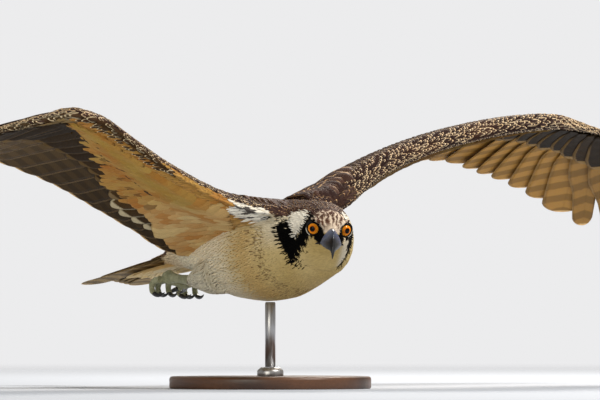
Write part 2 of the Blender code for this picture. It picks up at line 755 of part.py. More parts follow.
def arc(start, heading, axis, straight, length, turn, steps):
    """Points of a line that runs straight, then bends round an axis."""
    ahead = heading.normalized()
    points = [start.copy()]
    if straight > 0:
        points.append(start + ahead * straight / 2)
        points.append(start + ahead * straight)
    here = points[-1].copy()
    half = Matrix.Rotation(turn / steps / 2, 3, axis)
    for _ in range(steps):
        ahead = half @ ahead
        here = here + ahead * (length / steps)
        ahead = half @ ahead
        points.append(here.copy())
    return points, ahead


def toe_radii(count):
    """Toe pads swell and shrink along the toe, which tapers to its claw."""
    radii = []
    for k in range(count):
        t = k / (count - 1)
        radii.append(TOE_RADIUS * (1.0 - 0.30 * t) * (1.0 + 0.07 * math.cos(math.pi * k)))
    return radii


def make_leg(side, side_name, joints, room):
    hip, heel, ankle = (POSE @ joint for joint in joints)
    shank = (ankle - heel).normalized()
    thigh = tube("thigh_form", [hip, hip.lerp(heel, 0.35), hip.lerp(heel, 0.7), heel],
                 [0.026, 0.024, 0.016, 0.0085], 14, None, shank)
    cut(thigh, room, keep_cutter=True)
    finish(thigh, "thigh_" + side_name, WHITE, hip)
    start = heel + shank * GAP
    tarsus = tube("tarsus_form", [start, start.lerp(ankle, 0.5), ankle],
                  [TARSUS_RADIUS * 1.15, TARSUS_RADIUS * 0.92, TARSUS_RADIUS * 1.1], 12, shank, shank)
    finish(tarsus, "tarsus_" + side_name, FOOT_GREY, heel)
    palm = ankle + shank * GAP
    foot = tube("foot_form", [palm, palm + shank * 0.006, palm + shank * 0.013],
                [TARSUS_RADIUS * 1.2, TARSUS_RADIUS * 1.6, TARSUS_RADIUS * 1.2], 12, shank)
    mirror = Matrix.Diagonal((-side, 1, 1))
    turn_row = POSE.to_3x3()
    toes = []
    claws = []
    for toe_name, root, heading, axis, straight, turn in TOES:
        angle = math.radians(turn)
        ahead = turn_row @ mirror @ heading
        hinge = (turn_row @ mirror @ axis).normalized() * -side
        points, end = arc(palm + turn_row @ mirror @ root, ahead, hinge, straight, TOE_CURL * angle, angle, 5)
        toes.append(tube("toe", points, toe_radii(len(points)), 8, None, end))
        claw_line, _ = arc(points[-1] + end * GAP, end, hinge, 0.0, CLAW_LENGTH, CLAW_TURN, 5)
        claws.append((toe_name, claw_line, end))
    fuse(foot, toes)
    finish(foot, "foot_" + side_name, FOOT_GREY, ankle)
    for toe_name, claw_line, end in claws:
        claw = tube("claw_form", claw_line, [0.0029, 0.0027, 0.0023, 0.0018, 0.0012, 0.0004], 8, end)
        finish(claw, "claw_" + side_name + "_" + toe_name, CLAW_BLACK, claw_line[0])


def make_legs():
    room = body_room("torso_room")
    make_leg(-1, "right", RIGHT_LEG, room)
    make_leg(1, "left", LEFT_LEG, room)
    bpy.data.objects.remove(room, do_unlink=True)


def make_stand():
    bpy.ops.mesh.primitive_cylinder_add(vertices=48, radius=BASE_RADIUS, depth=BASE_THICK,
                                        location=(0, 0, BASE_THICK / 2))
    base = bpy.context.object
    base.name = "stand_base"
    for holder in list(base.users_collection):
        holder.objects.unlink(base)
    OSPREY.objects.link(base)
    base.data.materials.append(WOOD)
    edge = base.modifiers.new("edge", "BEVEL")
    edge.width = 0.003
    edge.segments = 2
    edge.limit_method = "ANGLE"
    collar_start = Vector((0, 0, BASE_THICK + GAP))
    collar_end = collar_start + Vector((0, 0, COLLAR_HEIGHT))
    collar = tube("collar_form", [collar_start, collar_start.lerp(collar_end, 0.7), collar_end],
                  [COLLAR_RADIUS, COLLAR_RADIUS, COLLAR_RADIUS * 0.75], 24)
    finish(collar, "stand_collar", STEEL, collar_start)
    rod_start = collar_end + Vector((0, 0, GAP))
    post = rod("rod_form", rod_start, Vector((0, 0, BACK_HEIGHT - 0.06)), ROD_RADIUS, 20)
    cut(post, body_room("torso_room"))
    finish(post, "stand_rod", STEEL, rod_start)


make_body()
make_head()
make_bill()
make_wings()
make_tail()
make_legs()
make_stand()
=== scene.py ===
"""Looks of the life-size gliding osprey on its display stand.

Metres, +Z up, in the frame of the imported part. The bird heads along -Y with
its left wing to +X. Sizes of the body and the wings are those of the part:
(left, back, up) from the middle of the back, which the pose then tips.
"""
import math

import bmesh
import bpy
import numpy as np
from mathutils import Matrix, Vector
from mathutils.bvhtree import BVHTree
from mathutils.kdtree import KDTree


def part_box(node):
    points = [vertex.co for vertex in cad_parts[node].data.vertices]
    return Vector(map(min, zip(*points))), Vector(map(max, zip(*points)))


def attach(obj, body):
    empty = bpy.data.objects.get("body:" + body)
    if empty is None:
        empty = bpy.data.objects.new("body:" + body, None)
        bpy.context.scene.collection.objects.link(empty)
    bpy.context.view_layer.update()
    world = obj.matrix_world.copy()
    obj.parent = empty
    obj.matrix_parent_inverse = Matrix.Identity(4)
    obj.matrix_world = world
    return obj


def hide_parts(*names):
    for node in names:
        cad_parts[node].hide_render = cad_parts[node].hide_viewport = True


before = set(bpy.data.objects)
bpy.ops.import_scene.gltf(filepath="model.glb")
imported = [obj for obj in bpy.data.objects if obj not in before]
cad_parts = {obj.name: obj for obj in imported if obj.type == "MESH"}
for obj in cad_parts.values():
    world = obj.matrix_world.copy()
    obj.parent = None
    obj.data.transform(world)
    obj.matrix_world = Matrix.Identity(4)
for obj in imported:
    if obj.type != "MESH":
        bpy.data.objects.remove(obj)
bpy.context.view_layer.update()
DRAW = np.random.default_rng(23)

# Pose of the bird and of its head, as the part has them
BACK = Vector((0.0, -0.055, 0.200))
POSE = (Matrix.Translation(BACK) @ Matrix.Rotation(math.radians(0.8), 4, "Y")
        @ Matrix.Rotation(math.radians(-7.0), 4, "X"))
HEAD = (Matrix.Translation(BACK + Vector((-0.031, -0.107, -0.019)))
        @ Matrix.Rotation(math.radians(-29.5), 4, "Z")
        @ Matrix.Rotation(math.radians(12.0), 4, "X") @ Matrix.Rotation(math.radians(3.3), 4, "Y"))

# Torso sections: back, top, bottom, half width
TORSO_SIZES = (
    (-0.060, 0.006, -0.074, 0.042),
    (-0.020, 0.014, -0.085, 0.050),
    (0.040, 0.020, -0.096, 0.060),
    (0.100, 0.014, -0.089, 0.056),
    (0.145, 0.006, -0.073, 0.048),
    (0.172, 0.002, -0.055, 0.042),
    (0.200, -0.003, -0.044, 0.034),
    (0.240, -0.008, -0.035, 0.024),
    (0.262, -0.014, -0.030, 0.014),
)

# Wing: feather number, left, back, up of the leading edge (left, right wing)
FEATHERS = 24
FIRST_HAND = 14
FIRST_FINGER = 20
LEADING = (
    (-3, 0.010, -0.024, -0.004, -0.006),
    (0, 0.050, -0.028, 0.0075, -0.0060),
    (2, 0.085, -0.024, 0.0300, -0.0010),
    (4, 0.122, -0.020, 0.0500, 0.0120),
    (7, 0.185, -0.025, 0.0735, 0.0395),
    (10, 0.248, -0.042, 0.0892, 0.0685),
    (12, 0.290, -0.056, 0.0962, 0.0872),
    (13, 0.311, -0.061, 0.0985, 0.0930),
    (14, 0.330, -0.061, 0.0997, 0.0985),
    (15, 0.344, -0.056, 0.1000, 0.0990),
    (16, 0.357, -0.050, 0.0998, 0.0965),
    (18, 0.383, -0.038, 0.0990, 0.0925),
    (20, 0.409, -0.025, 0.0980, 0.0870),
    (23, 0.447, -0.006, 0.0965, 0.0780),
)
TRAILING = (
    (-3, 0.020, 0.185, -0.022, -0.034),
    (0, 0.064, 0.193, 0.002, -0.016),
    (2, 0.100, 0.191, 0.022, 0.003),
    (4, 0.143, 0.188, 0.040, 0.0225),
    (7, 0.209, 0.183, 0.064, 0.0515),
    (10, 0.286, 0.180, 0.084, 0.077),
    (12, 0.331, 0.176, 0.087, 0.080),
    (14, 0.3815, 0.182, 0.0785, 0.065),
    (16, 0.4385, 0.200, 0.069, 0.048),
    (18, 0.511, 0.228, 0.0515, 0.021),
    (20, 0.590, 0.262, 0.0250, -0.0155),
    (21, 0.640, 0.266, 0.0135, -0.0315),
    (22, 0.672, 0.240, 0.0135, -0.0330),
    (23, 0.668, 0.195, 0.0260, -0.0190),
)
# Share of the chord that is flesh and small coverts, and its thickness
FLESH = (
    (-3, 0.62, 0.038),
    (0, 0.60, 0.036),
    (4, 0.55, 0.030),
    (7, 0.47, 0.027),
    (10, 0.36, 0.025),
    (13, 0.23, 0.023),
    (14, 0.19, 0.021),
    (17, 0.12, 0.015),
    (20, 0.075, 0.011),
    (23, 0.05, 0.007),
)
LEFT_CAMBER = 0.014
RIGHT_CAMBER = 0.009
UPPER_REACH = ((-3, 0.82), (0, 0.80), (5, 0.74), (10, 0.66), (14, 0.50), (18, 0.38), (23, 0.30))
UNDER_REACH = ((-3, 0.78), (0, 0.76), (5, 0.70), (10, 0.62), (14, 0.48), (18, 0.36), (23, 0.28))
SHINGLE = ((-3, 5.0), (10, 5.0), (14, 8.0), (23, 8.0))
VANE_WIDEST = 0.027
COVERT_LIFT = 0.0052

TAIL_ROOT = (0.0, 0.226, -0.016)
TAIL_LENGTH = 0.165
TAIL_DROP = math.radians(4.5)
TAIL_SPREAD = 0.036
TAIL_ROOT_SPREAD = 0.010
TAIL_CORNER_SHORT = 0.006

# How deep the skin lies under the solids
COAT_DEPTH = 0.0016


def curve(keys, at):
    """Smooth curves through keys of (place, value, ...), read at an array of places."""
    table = np.array(keys, float)
    place, value = table[:, 0], table[:, 1:]
    slope = np.empty_like(value)
    slope[1:-1] = (value[2:] - value[:-2]) / (place[2:] - place[:-2])[:, None]
    slope[0] = (value[1] - value[0]) / (place[1] - place[0])
    slope[-1] = (value[-1] - value[-2]) / (place[-1] - place[-2])
    at = np.clip(np.asarray(at, float), place[0], place[-1])
    low = np.clip(np.searchsorted(place, at, side="right") - 1, 0, len(place) - 2)
    width = place[low + 1] - place[low]
    t = ((at - place[low]) / width)[..., None]
    width = width[..., None]
    result = (2 * t**3 - 3 * t**2 + 1) * value[low] + (t**3 - 2 * t**2 + t) * width * slope[low]
    result += (3 * t**2 - 2 * t**3) * value[low + 1] + (t**3 - t**2) * width * slope[low + 1]
    return [result[..., k] for k in range(result.shape[-1])]


def unit(vectors):
    return vectors / np.maximum(np.linalg.norm(vectors, axis=-1, keepdims=True), 1e-12)


def smooth(low, high, value):
    t = np.clip((value - low) / (high - low), 0.0, 1.0)
    return t * t * (3 - 2 * t)


def moved(matrix, points):
    rows = np.array(matrix)
    return points @ rows[:3, :3].T + rows[:3, 3]


def turned(matrix, vectors):
    return vectors @ np.array(matrix)[:3, :3].T


def to_bird(points):
    return moved(POSE.inverted(), points)


def to_head(points):
    return moved(HEAD.inverted(), points)


def wing_point(side, number, chord):
    """Points of a wing's middle surface, by feather number and share of the chord."""
    number, chord = np.broadcast_arrays(np.asarray(number, float), np.asarray(chord, float))
    pick = 2 if side > 0 else 3
    lead, trail = curve(LEADING, number), curve(TRAILING, number)
    front = np.stack([side * lead[0], lead[1], lead[pick]], -1)
    rear = np.stack([side * trail[0], trail[1], trail[pick]], -1)
    fade = 1.0 - np.maximum(0.0, number - FIRST_HAND) / (FEATHERS - FIRST_HAND) * 0.6
    camber = LEFT_CAMBER if side > 0 else RIGHT_CAMBER
    rise = camber * fade * np.sin(math.pi * np.clip(chord, 0.0, 1.0) ** 0.7)
    point = front + (rear - front) * chord[..., None]
    point[..., 2] += rise
    return point


def wing_normal(side, number, chord):
    span = wing_point(side, number + 0.25, chord) - wing_point(side, number - 0.25, chord)
    ahead = wing_point(side, number, chord + 0.04) - wing_point(side, number, np.maximum(chord - 0.04, 0))
    return unit(np.cross(span, ahead) * side)


def flesh_half(number, chord):
    """Half the thickness of the wing's flesh, nothing behind it."""
    share, depth = curve(FLESH, number)
    place = np.clip(chord / share, 0.0, 1.0)
    keys = ((0.0, 0.0), (0.05, 0.55), (0.20, 0.97), (0.48, 0.90), (0.78, 0.50), (1.0, 0.0))
    return depth / 2 * np.interp(place, *zip(*keys))


# Meshes

def new_object(name, mesh):
    thing = bpy.data.objects.new(name, mesh)
    bpy.context.scene.collection.objects.link(thing)
    return thing


def mesh_from(name, points, faces):
    mesh = bpy.data.meshes.new(name)
    mesh.from_pydata([tuple(p) for p in points], [], faces)
    mesh.validate()
    return mesh


def loft(rings):
    """Points and faces of a closed tube through rings of like count."""
    count = len(rings[0])
    points = [tuple(p) for ring in rings for p in ring]
    faces = []
    for row in range(len(rings) - 1):
        for k in range(count):
            n = (k + 1) % count
            faces.append((row * count + k, row * count + n, (row + 1) * count + n, (row + 1) * count + k))
    faces.append(tuple(range(count)))
    faces.append(tuple(range((len(rings) - 1) * count, len(rings) * count))[::-1])
    return points, faces


def outward(mesh):
    bm = bmesh.new()
    bm.from_mesh(mesh)
    bmesh.ops.recalc_face_normals(bm, faces=bm.faces)
    bm.to_mesh(mesh)
    bm.free()


def join_up(name, parts):
    """One mesh from several (points, faces)."""
    points, faces = [], []
    for some_points, some_faces in parts:
        shift = len(points)
        points += [tuple(p) for p in some_points]
        faces += [tuple(index + shift for index in face) for face in some_faces]
    mesh = mesh_from(name, points, faces)
    outward(mesh)
    return mesh


def tube(line, radii, sides=16):
    """Closed tube along points, as (points, faces)."""
    line = [Vector(p) for p in line]
    rings = []
    side_way = None
    for index, point in enumerate(line):
        way = (line[min(index + 1, len(line) - 1)] - line[max(index - 1, 0)]).normalized()
        if side_way is None:
            side_way = way.orthogonal().normalized()
        side_way = (side_way - way * side_way.dot(way)).normalized()
        up = way.cross(side_way)
        ring = []
        for k in range(sides):
            angle = 2 * math.pi * k / sides
            ring.append(point + (side_way * math.cos(angle) + up * math.sin(angle)) * radii[index])
        rings.append(ring)
    return loft(rings)


def set_colours(mesh, name, values):
    layer = mesh.color_attributes.new(name, "FLOAT_COLOR", "POINT")
    layer.data.foreach_set("color", np.ascontiguousarray(values, np.float32).ravel())


def set_uv(mesh, name, values):
    """UV map from one pair a vertex."""
    corners = np.empty(len(mesh.loops), np.int32)
    mesh.loops.foreach_get("vertex_index", corners)
    layer = mesh.uv_layers.new(name=name)
    layer.uv.foreach_set("vector", np.ascontiguousarray(values[corners], np.float32).ravel())


def rgba(rgb, alpha=1.0):
    """Colours (n, 3) or one colour with an alpha (number or array)."""
    rgb = np.atleast_2d(np.asarray(rgb, float))
    alpha = np.broadcast_to(np.asarray(alpha, float), rgb.shape[:1])
    return np.concatenate([rgb, alpha[:, None]], 1)


def plumage(name, points, across, up, half, outline, thick, arch, looks, atlas, patch, mat, columns=3,
            below=None):
    """Many closed vanes as one object, with tints of their own below where these are given.

    points, across, up: (feathers, stations, 3). half: (feathers, 1 or stations).
    outline: (stations, 2), shares of the half width on the outer and inner edge.
    thick: (stations,). looks: {attribute: (feathers, 4)}. atlas: (feathers, 2),
    patch: (2,) or (feathers, 2), place and size of each feather's patch of OFBake.
    """
    feathers, stations = points.shape[:2]
    outline = np.asarray(outline, float)
    top = np.linspace(1.0, -1.0, columns)
    place = np.concatenate([top, top[1:-1][::-1]])
    face_up = np.concatenate([np.ones(columns), -np.ones(columns - 2)])
    face_up[[0, columns - 1]] = 0.0
    ring = len(place)
    share = np.where(place > 0, outline[:, :1], outline[:, 1:])
    width = (half * np.ones((feathers, stations)))[:, :, None]
    aside = width * (place * share)
    hang = -arch * width * place**2 * share
    body = face_up * (1 - 0.75 * np.abs(place)) * np.asarray(thick, float)[:, None] / 2
    verts = (points[:, :, None, :] + across[:, :, None, :] * aside[..., None]
             + up[:, :, None, :] * (hang + body)[..., None])
    steps = np.linalg.norm(np.diff(points, axis=1), axis=-1).mean(0)
    along_way = np.concatenate([[0.0], np.cumsum(steps)]) / steps.sum()
    k = np.arange(ring)
    rows = np.arange(stations - 1)[:, None]
    quads = np.stack([rows * ring + k, rows * ring + (k + 1) % ring,
                      (rows + 1) * ring + (k + 1) % ring, (rows + 1) * ring + k], -1).reshape(-1, 4)
    caps = np.stack([k[::-1], (stations - 1) * ring + k])
    first = verts[0].reshape(-1, 3)
    a, b, c, d = (first[quads[:, j]] for j in range(4))
    middle = first.mean(0)
    volume = np.einsum("ij,ij->", np.cross(c - a, d - b), (a + b + c + d) / 4 - middle)
    if volume < 0:
        quads, caps = quads[:, ::-1], caps[:, ::-1]
    shift = (np.arange(feathers) * stations * ring)[:, None, None]
    quads = (quads[None] + shift).reshape(-1)
    caps = (caps[None] + shift).reshape(-1)
    corner_count = len(quads) + len(caps)
    sizes = np.concatenate([np.full(len(quads) // 4, 4), np.full(len(caps) // ring, ring)])
    mesh = bpy.data.meshes.new(name)
    mesh.vertices.add(feathers * stations * ring)
    mesh.vertices.foreach_set("co", np.ascontiguousarray(verts, np.float32).ravel())
    mesh.loops.add(corner_count)
    mesh.loops.foreach_set("vertex_index", np.concatenate([quads, caps]).astype(np.int32))
    mesh.polygons.add(len(sizes))
    starts = np.concatenate([[0], np.cumsum(sizes)[:-1]])
    mesh.polygons.foreach_set("loop_start", starts.astype(np.int32))
    mesh.update(calc_edges=True)
    shape = (feathers, stations, ring)
    vane = np.stack([np.broadcast_to((place + 1) / 2, shape),
                     np.broadcast_to(along_way[:, None], shape)], -1).reshape(-1, 2)
    set_uv(mesh, "vane", vane)
    patch = np.broadcast_to(np.asarray(patch, float), (feathers, 2))
    spots = atlas[:, None, None, :] + vane.reshape(*shape, 2) * patch[:, None, None, :]
    set_uv(mesh, "OFBake", spots.reshape(-1, 2))
    for attribute, values in looks.items():
        spread = np.broadcast_to(values[:, None, None, :], (*shape, 4))
        if attribute == "tint" and below is not None:
            spread = np.where((face_up < 0.5)[:, None], below[:, None, None, :], spread)
        set_colours(mesh, attribute, spread.reshape(-1, 4))
    mesh.shade_smooth()
    mesh.materials.append(mat)
    thing = new_object(name, mesh)
    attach(thing, "root")
    return thing


# Materials

def rgb(red, green, blue):
    """Linear colour from the usual 0 to 255 screen values."""
    return tuple(((c / 255 + 0.055) / 1.055) ** 2.4 if c > 10 else c / 255 / 12.92 for c in (red, green, blue))


class Nodes:
    """Short calls for building a material's nodes."""

    def __init__(self, name):
        self.material = bpy.data.materials.new(name)
        self.material.use_nodes = True
        self.tree = self.material.node_tree
        self.shader = self.tree.nodes["Principled BSDF"]

    def put(self, socket, value):
        if isinstance(value, bpy.types.NodeSocket):
            self.tree.links.new(value, socket)
        else:
            socket.default_value = value

    def set(self, name, value):
        if isinstance(value, tuple) and len(value) == 3:
            value = (*value, 1.0)
        self.put(self.shader.inputs[name], value)

    def math(self, operation, *values):
        node = self.tree.nodes.new("ShaderNodeMath")
        node.operation = operation
        for index, value in enumerate(values):
            self.put(node.inputs[index], value)
        return node.outputs[0]

    def step(self, value, low, high, to_low=0.0, to_high=1.0):
        node = self.tree.nodes.new("ShaderNodeMapRange")
        node.interpolation_type = "SMOOTHSTEP"
        for index, item in enumerate((value, low, high, to_low, to_high)):
            self.put(node.inputs[index], item)
        return node.outputs[0]

    def mix(self, share, first, second):
        node = self.tree.nodes.new("ShaderNodeMix")
        node.data_type = "RGBA"
        self.put(node.inputs[0], share)
        for index, value in ((6, first), (7, second)):
            if isinstance(value, tuple) and len(value) == 3:
                value = (*value, 1.0)
            self.put(node.inputs[index], value)
        return node.outputs[2]

    def scaled(self, colour, share):
        """A colour times a number that varies."""
        node = self.tree.nodes.new("ShaderNodeVectorMath")
        node.operation = "SCALE"
        self.put(node.inputs[0], colour)
        self.put(node.inputs["Scale"], share)
        return node.outputs[0]

    def attribute(self, name):
        node = self.tree.nodes.new("ShaderNodeAttribute")
        node.attribute_name = name
        return node

    def apart(self, vector):
        node = self.tree.nodes.new("ShaderNodeSeparateXYZ")
        self.put(node.inputs[0], vector)
        return node.outputs

    def uv(self, name):
        node = self.tree.nodes.new("ShaderNodeUVMap")
        node.uv_map = name
        return self.apart(node.outputs[0])

    def place(self):
        return self.tree.nodes.new("ShaderNodeTexCoord").outputs["Object"]

    def noise(self, scale, detail=2.0, where=None, roughness=0.5):
        node = self.tree.nodes.new("ShaderNodeTexNoise")
        self.put(node.inputs["Vector"], where or self.place())
        node.inputs["Scale"].default_value = scale
        node.inputs["Detail"].default_value = detail
        node.inputs["Roughness"].default_value = roughness
        return node.outputs["Fac"]

    def stretched(self, scale, where=None):
        node = self.tree.nodes.new("ShaderNodeMapping")
        self.put(node.inputs["Vector"], where or self.place())
        node.inputs["Scale"].default_value = scale
        return node.outputs[0]

    def bump(self, height, strength, distance):
        node = self.tree.nodes.new("ShaderNodeBump")
        node.inputs["Strength"].default_value = strength
        node.inputs["Distance"].default_value = distance
        self.put(node.inputs["Height"], height)
        self.put(self.shader.inputs["Normal"], node.outputs[0])


def feather_material(name, tip_from, fringe_from, fringe_to, sides, barbs, roughness, depth, shine=0.12):
    """Vane with shaft, barbs, bars, dark centre and pale fringe, coloured by its attributes.

    tint: colour. fringe: colour and strength, along the edges only by the share sides.
    marks: bars, bars along the vane in tenths, dark centre, chance.
    """
    n = Nodes(name)
    across, ahead, _ = n.uv("vane")
    aside = n.math("ABSOLUTE", n.math("MULTIPLY_ADD", across, 2.0, -1.0))
    tint = n.attribute("tint")
    fringe = n.attribute("fringe")
    marks = n.attribute("marks")
    bar_share, bar_count, centre = n.apart(marks.outputs["Vector"])
    chance = marks.outputs["Alpha"]
    fine = n.noise(1400.0, 2.0)
    soft = n.noise(170.0, 3.0)
    wavy = n.math("MULTIPLY_ADD", soft, 0.9, -0.45)
    phase = n.math("MULTIPLY", n.math("ADD", ahead, n.math("MULTIPLY", aside, -0.03)), bar_count)
    phase = n.math("ADD", n.math("MULTIPLY", phase, 20 * math.pi), n.math("MULTIPLY_ADD", chance, 2.6, wavy))
    bars = n.step(n.math("SINE", phase), -0.35, 0.35)
    colour = n.mix(n.math("MULTIPLY", bars, bar_share), tint.outputs["Color"],
                   n.scaled(tint.outputs["Color"], 0.38))
    streak = n.step(n.math("ADD", aside, n.math("MULTIPLY_ADD", fine, 0.3, -0.15)), 0.25, 0.62, 1.0, 0.0)
    streak = n.math("MULTIPLY", streak, n.step(ahead, 0.78, 0.95, 1.0, 0.0))
    colour = n.mix(n.math("MULTIPLY", streak, centre), colour, rgb(46, 32, 27))
    tip = n.step(ahead, tip_from, 1.0)
    edge = n.math("MAXIMUM", aside, tip)
    edge = n.math("ADD", edge, n.math("MULTIPLY_ADD", fine, 0.22, -0.11))
    edge = n.step(edge, fringe_from, fringe_to)
    edge = n.math("MULTIPLY", edge, n.step(ahead, 0.15, 0.55))
    edge = n.math("MULTIPLY", edge, n.math("MULTIPLY_ADD", n.step(tip, 0.1, 0.7), 1.0 - sides, sides))
    colour = n.mix(n.math("MULTIPLY", edge, fringe.outputs["Alpha"]), colour, fringe.outputs["Color"])
    rib = n.math("SINE", n.math("MULTIPLY", n.math("SUBTRACT", ahead, n.math("MULTIPLY", aside, 0.22)), barbs))
    rachis = n.step(aside, 0.02, 0.07, 1.0, 0.0)
    shade = n.math("MULTIPLY_ADD", rib, 0.045, 0.90)
    shade = n.math("ADD", shade, n.math("MULTIPLY", n.math("SUBTRACT", fine, 0.5), 0.30))
    shade = n.math("ADD", shade, n.math("MULTIPLY", soft, 0.20))
    shade = n.math("ADD", shade, n.math("MULTIPLY", rachis, -0.10))
    n.set("Base Color", n.scaled(colour, shade))
    n.set("Roughness", n.math("MULTIPLY_ADD", soft, 0.2, roughness - 0.1))
    n.shader.inputs["Specular IOR Level"].default_value = shine
    n.bump(n.math("MULTIPLY_ADD", rachis, 1.2, rib), depth, 0.0002)
    return n.material


FLIGHT = feather_material("flight_feathers", 0.90, 0.88, 0.97, 0.30, 260.0, 0.60, 0.12, 0.07)
COVERT = feather_material("covert_feathers", 0.70, 0.74, 0.86, 0.7, 110.0, 0.66, 0.25, 0.07)
SCALY = feather_material("scaly_feathers", 0.70, 0.42, 0.60, 0.8, 50.0, 0.72, 0.20)
SMALL = feather_material("small_feathers", 0.70, 0.60, 0.78, 0.8, 60.0, 0.72, 0.25)
RAGGED = feather_material("mask_feathers", 0.70, 0.60, 0.90, 0.8, 60.0, 0.85, 0.10, 0.02)
SOFT = feather_material("soft_feathers", 0.70, 0.50, 1.0, 1.0, 60.0, 0.88, 0.10)


def skin_material():
    n = Nodes("skin")
    tint = n.attribute("tint").outputs["Color"]
    down = n.noise(520.0, 4.0, n.stretched((1.0, 0.25, 1.0)))
    n.set("Base Color", n.scaled(tint, n.math("MULTIPLY_ADD", down, 0.5, 0.55)))
    n.set("Roughness", n.math("MULTIPLY_ADD", down, 0.15, 0.78))
    n.shader.inputs["Specular IOR Level"].default_value = 0.03
    n.bump(down, 0.6, 0.0008)
    return n.material


def eye_material():
    """Pupil, iris and dark rim, by the angle off the eye's axis."""
    n = Nodes("eye")
    where = n.place()
    x, y, z = n.apart(where)
    reach = n.math("SQRT", n.math("ADD", n.math("MULTIPLY", x, x), n.math("MULTIPLY", z, z)))
    share = n.math("DIVIDE", reach, IRIS_RADIUS)
    turn = n.math("ARCTAN2", z, x)
    rays = n.tree.nodes.new("ShaderNodeTexNoise")
    rays.noise_dimensions = "2D"
    ray_place = n.tree.nodes.new("ShaderNodeCombineXYZ")
    n.put(ray_place.inputs[0], n.math("MULTIPLY", turn, 9.0))
    n.put(ray_place.inputs[1], n.math("MULTIPLY", share, 1.4))
    n.put(rays.inputs["Vector"], ray_place.outputs[0])
    rays.inputs["Scale"].default_value = 1.6
    rays.inputs["Detail"].default_value = 3.0
    fibre = rays.outputs["Fac"]
    iris = n.mix(n.step(share, 0.46, 0.80), rgb(226, 120, 22), rgb(255, 158, 36))
    iris = n.mix(n.step(share, 0.84, 1.0), iris, rgb(168, 62, 8))
    iris = n.scaled(iris, n.math("MULTIPLY_ADD", fibre, 0.9, 0.55))
    inner = n.step(share, 0.43, 0.49)
    colour = n.mix(inner, rgb(4, 3, 4), iris)
    colour = n.mix(n.step(share, 0.97, 1.05), colour, rgb(9, 7, 7))
    n.set("Base Color", colour)
    n.set("Roughness", n.math("MULTIPLY_ADD", fibre, 0.06, 0.16))
    n.shader.inputs["Specular IOR Level"].default_value = 0.07
    n.shader.inputs["Coat Weight"].default_value = 0.08
    n.shader.inputs["Coat Roughness"].default_value = 0.03
    n.bump(fibre, 0.15, 0.0002)
    return n.material


def horn_material(name, base, tip, low, high, axis_from, axis_to, gloss, ridge=0.0):
    """Horn that darkens along a line through its object, and along its ridge."""
    n = Nodes(name)
    where = n.place()
    way = n.tree.nodes.new("ShaderNodeVectorMath")
    way.operation = "DOT_PRODUCT"
    line = Vector(axis_to) - Vector(axis_from)
    n.put(way.inputs[0], where)
    way.inputs[1].default_value = line / line.length_squared
    start = Vector(axis_from).dot(line) / line.length_squared
    grain = n.noise(900.0, 4.0, n.stretched((1.0, 1.0, 0.2)))
    cloud = n.noise(190.0, 3.0)
    t = n.math("SUBTRACT", way.outputs["Value"], start)
    t = n.math("ADD", t, n.math("MULTIPLY_ADD", cloud, 0.24, -0.12))
    aside = n.math("ABSOLUTE", n.apart(where)[0])
    dark = n.math("MULTIPLY", n.step(aside, 0.0009, 0.0030, 1.0, 0.0), ridge)
    colour = n.mix(n.math("MAXIMUM", n.step(t, low, high), dark), base, tip)
    n.set("Base Color", n.scaled(colour, n.math("MULTIPLY_ADD", grain, 0.5, 0.72)))
    n.set("Roughness", n.math("MULTIPLY_ADD", grain, 0.2, gloss))
    n.shader.inputs["Coat Weight"].default_value = 0.25
    n.shader.inputs["Coat Roughness"].default_value = 0.2
    n.bump(grain, 0.25, 0.0003)
    return n.material


def scaly_material():
    """Scales of the legs and toes."""
    n = Nodes("foot_skin")
    cells = n.tree.nodes.new("ShaderNodeTexVoronoi")
    cells.feature = "DISTANCE_TO_EDGE"
    cells.inputs["Scale"].default_value = 900.0
    n.put(cells.inputs["Vector"], n.place())
    gap = n.step(cells.outputs["Distance"], 0.02, 0.16)
    cloud = n.noise(120.0, 4.0)
    colour = n.mix(n.step(cloud, 0.35, 0.68), rgb(142, 146, 112), rgb(186, 186, 148))
    colour = n.mix(gap, rgb(116, 114, 84), colour)
    n.set("Base Color", colour)
    n.set("Roughness", n.math("MULTIPLY_ADD", cloud, 0.25, 0.45))
    n.bump(gap, 0.5, 0.0004)
    return n.material


def wood_material():
    """Dark oiled wood with its rings and pores."""
    n = Nodes("stand_wood")
    where = n.stretched((1.0, 7.0, 1.0))
    wave = n.tree.nodes.new("ShaderNodeTexWave")
    wave.wave_type = "RINGS"
    wave.rings_direction = "Z"
    wave.inputs["Scale"].default_value = 4.5
    wave.inputs["Distortion"].default_value = 7.0
    wave.inputs["Detail"].default_value = 4.0
    wave.inputs["Detail Scale"].default_value = 2.2
    n.put(wave.inputs["Vector"], n.stretched((1.0, 0.16, 1.0)))
    grain = wave.outputs["Fac"]
    pores = n.noise(420.0, 3.0, n.stretched((1.0, 0.05, 1.0)))
    colour = n.mix(grain, rgb(62, 38, 24), rgb(98, 63, 39))
    colour = n.scaled(colour, n.math("MULTIPLY_ADD", pores, 0.7, 0.62))
    n.set("Base Color", colour)
    n.set("Roughness", n.math("MULTIPLY_ADD", n.noise(30.0, 3.0, where), 0.2, 0.32))
    n.shader.inputs["Coat Weight"].default_value = 0.2
    n.shader.inputs["Coat Roughness"].default_value = 0.3
    n.bump(pores, 0.2, 0.0003)
    return n.material


def steel_material():
    """Brushed steel."""
    n = Nodes("stand_steel")
    brush = n.noise(700.0, 4.0, n.stretched((1.0, 1.0, 0.03)))
    n.set("Base Color", n.mix(brush, (0.40, 0.40, 0.41), (0.62, 0.62, 0.63)))
    n.shader.inputs["Metallic"].default_value = 1.0
    n.set("Roughness", n.math("MULTIPLY_ADD", brush, 0.25, 0.24))
    n.bump(brush, 0.12, 0.0002)
    return n.material


# Skin

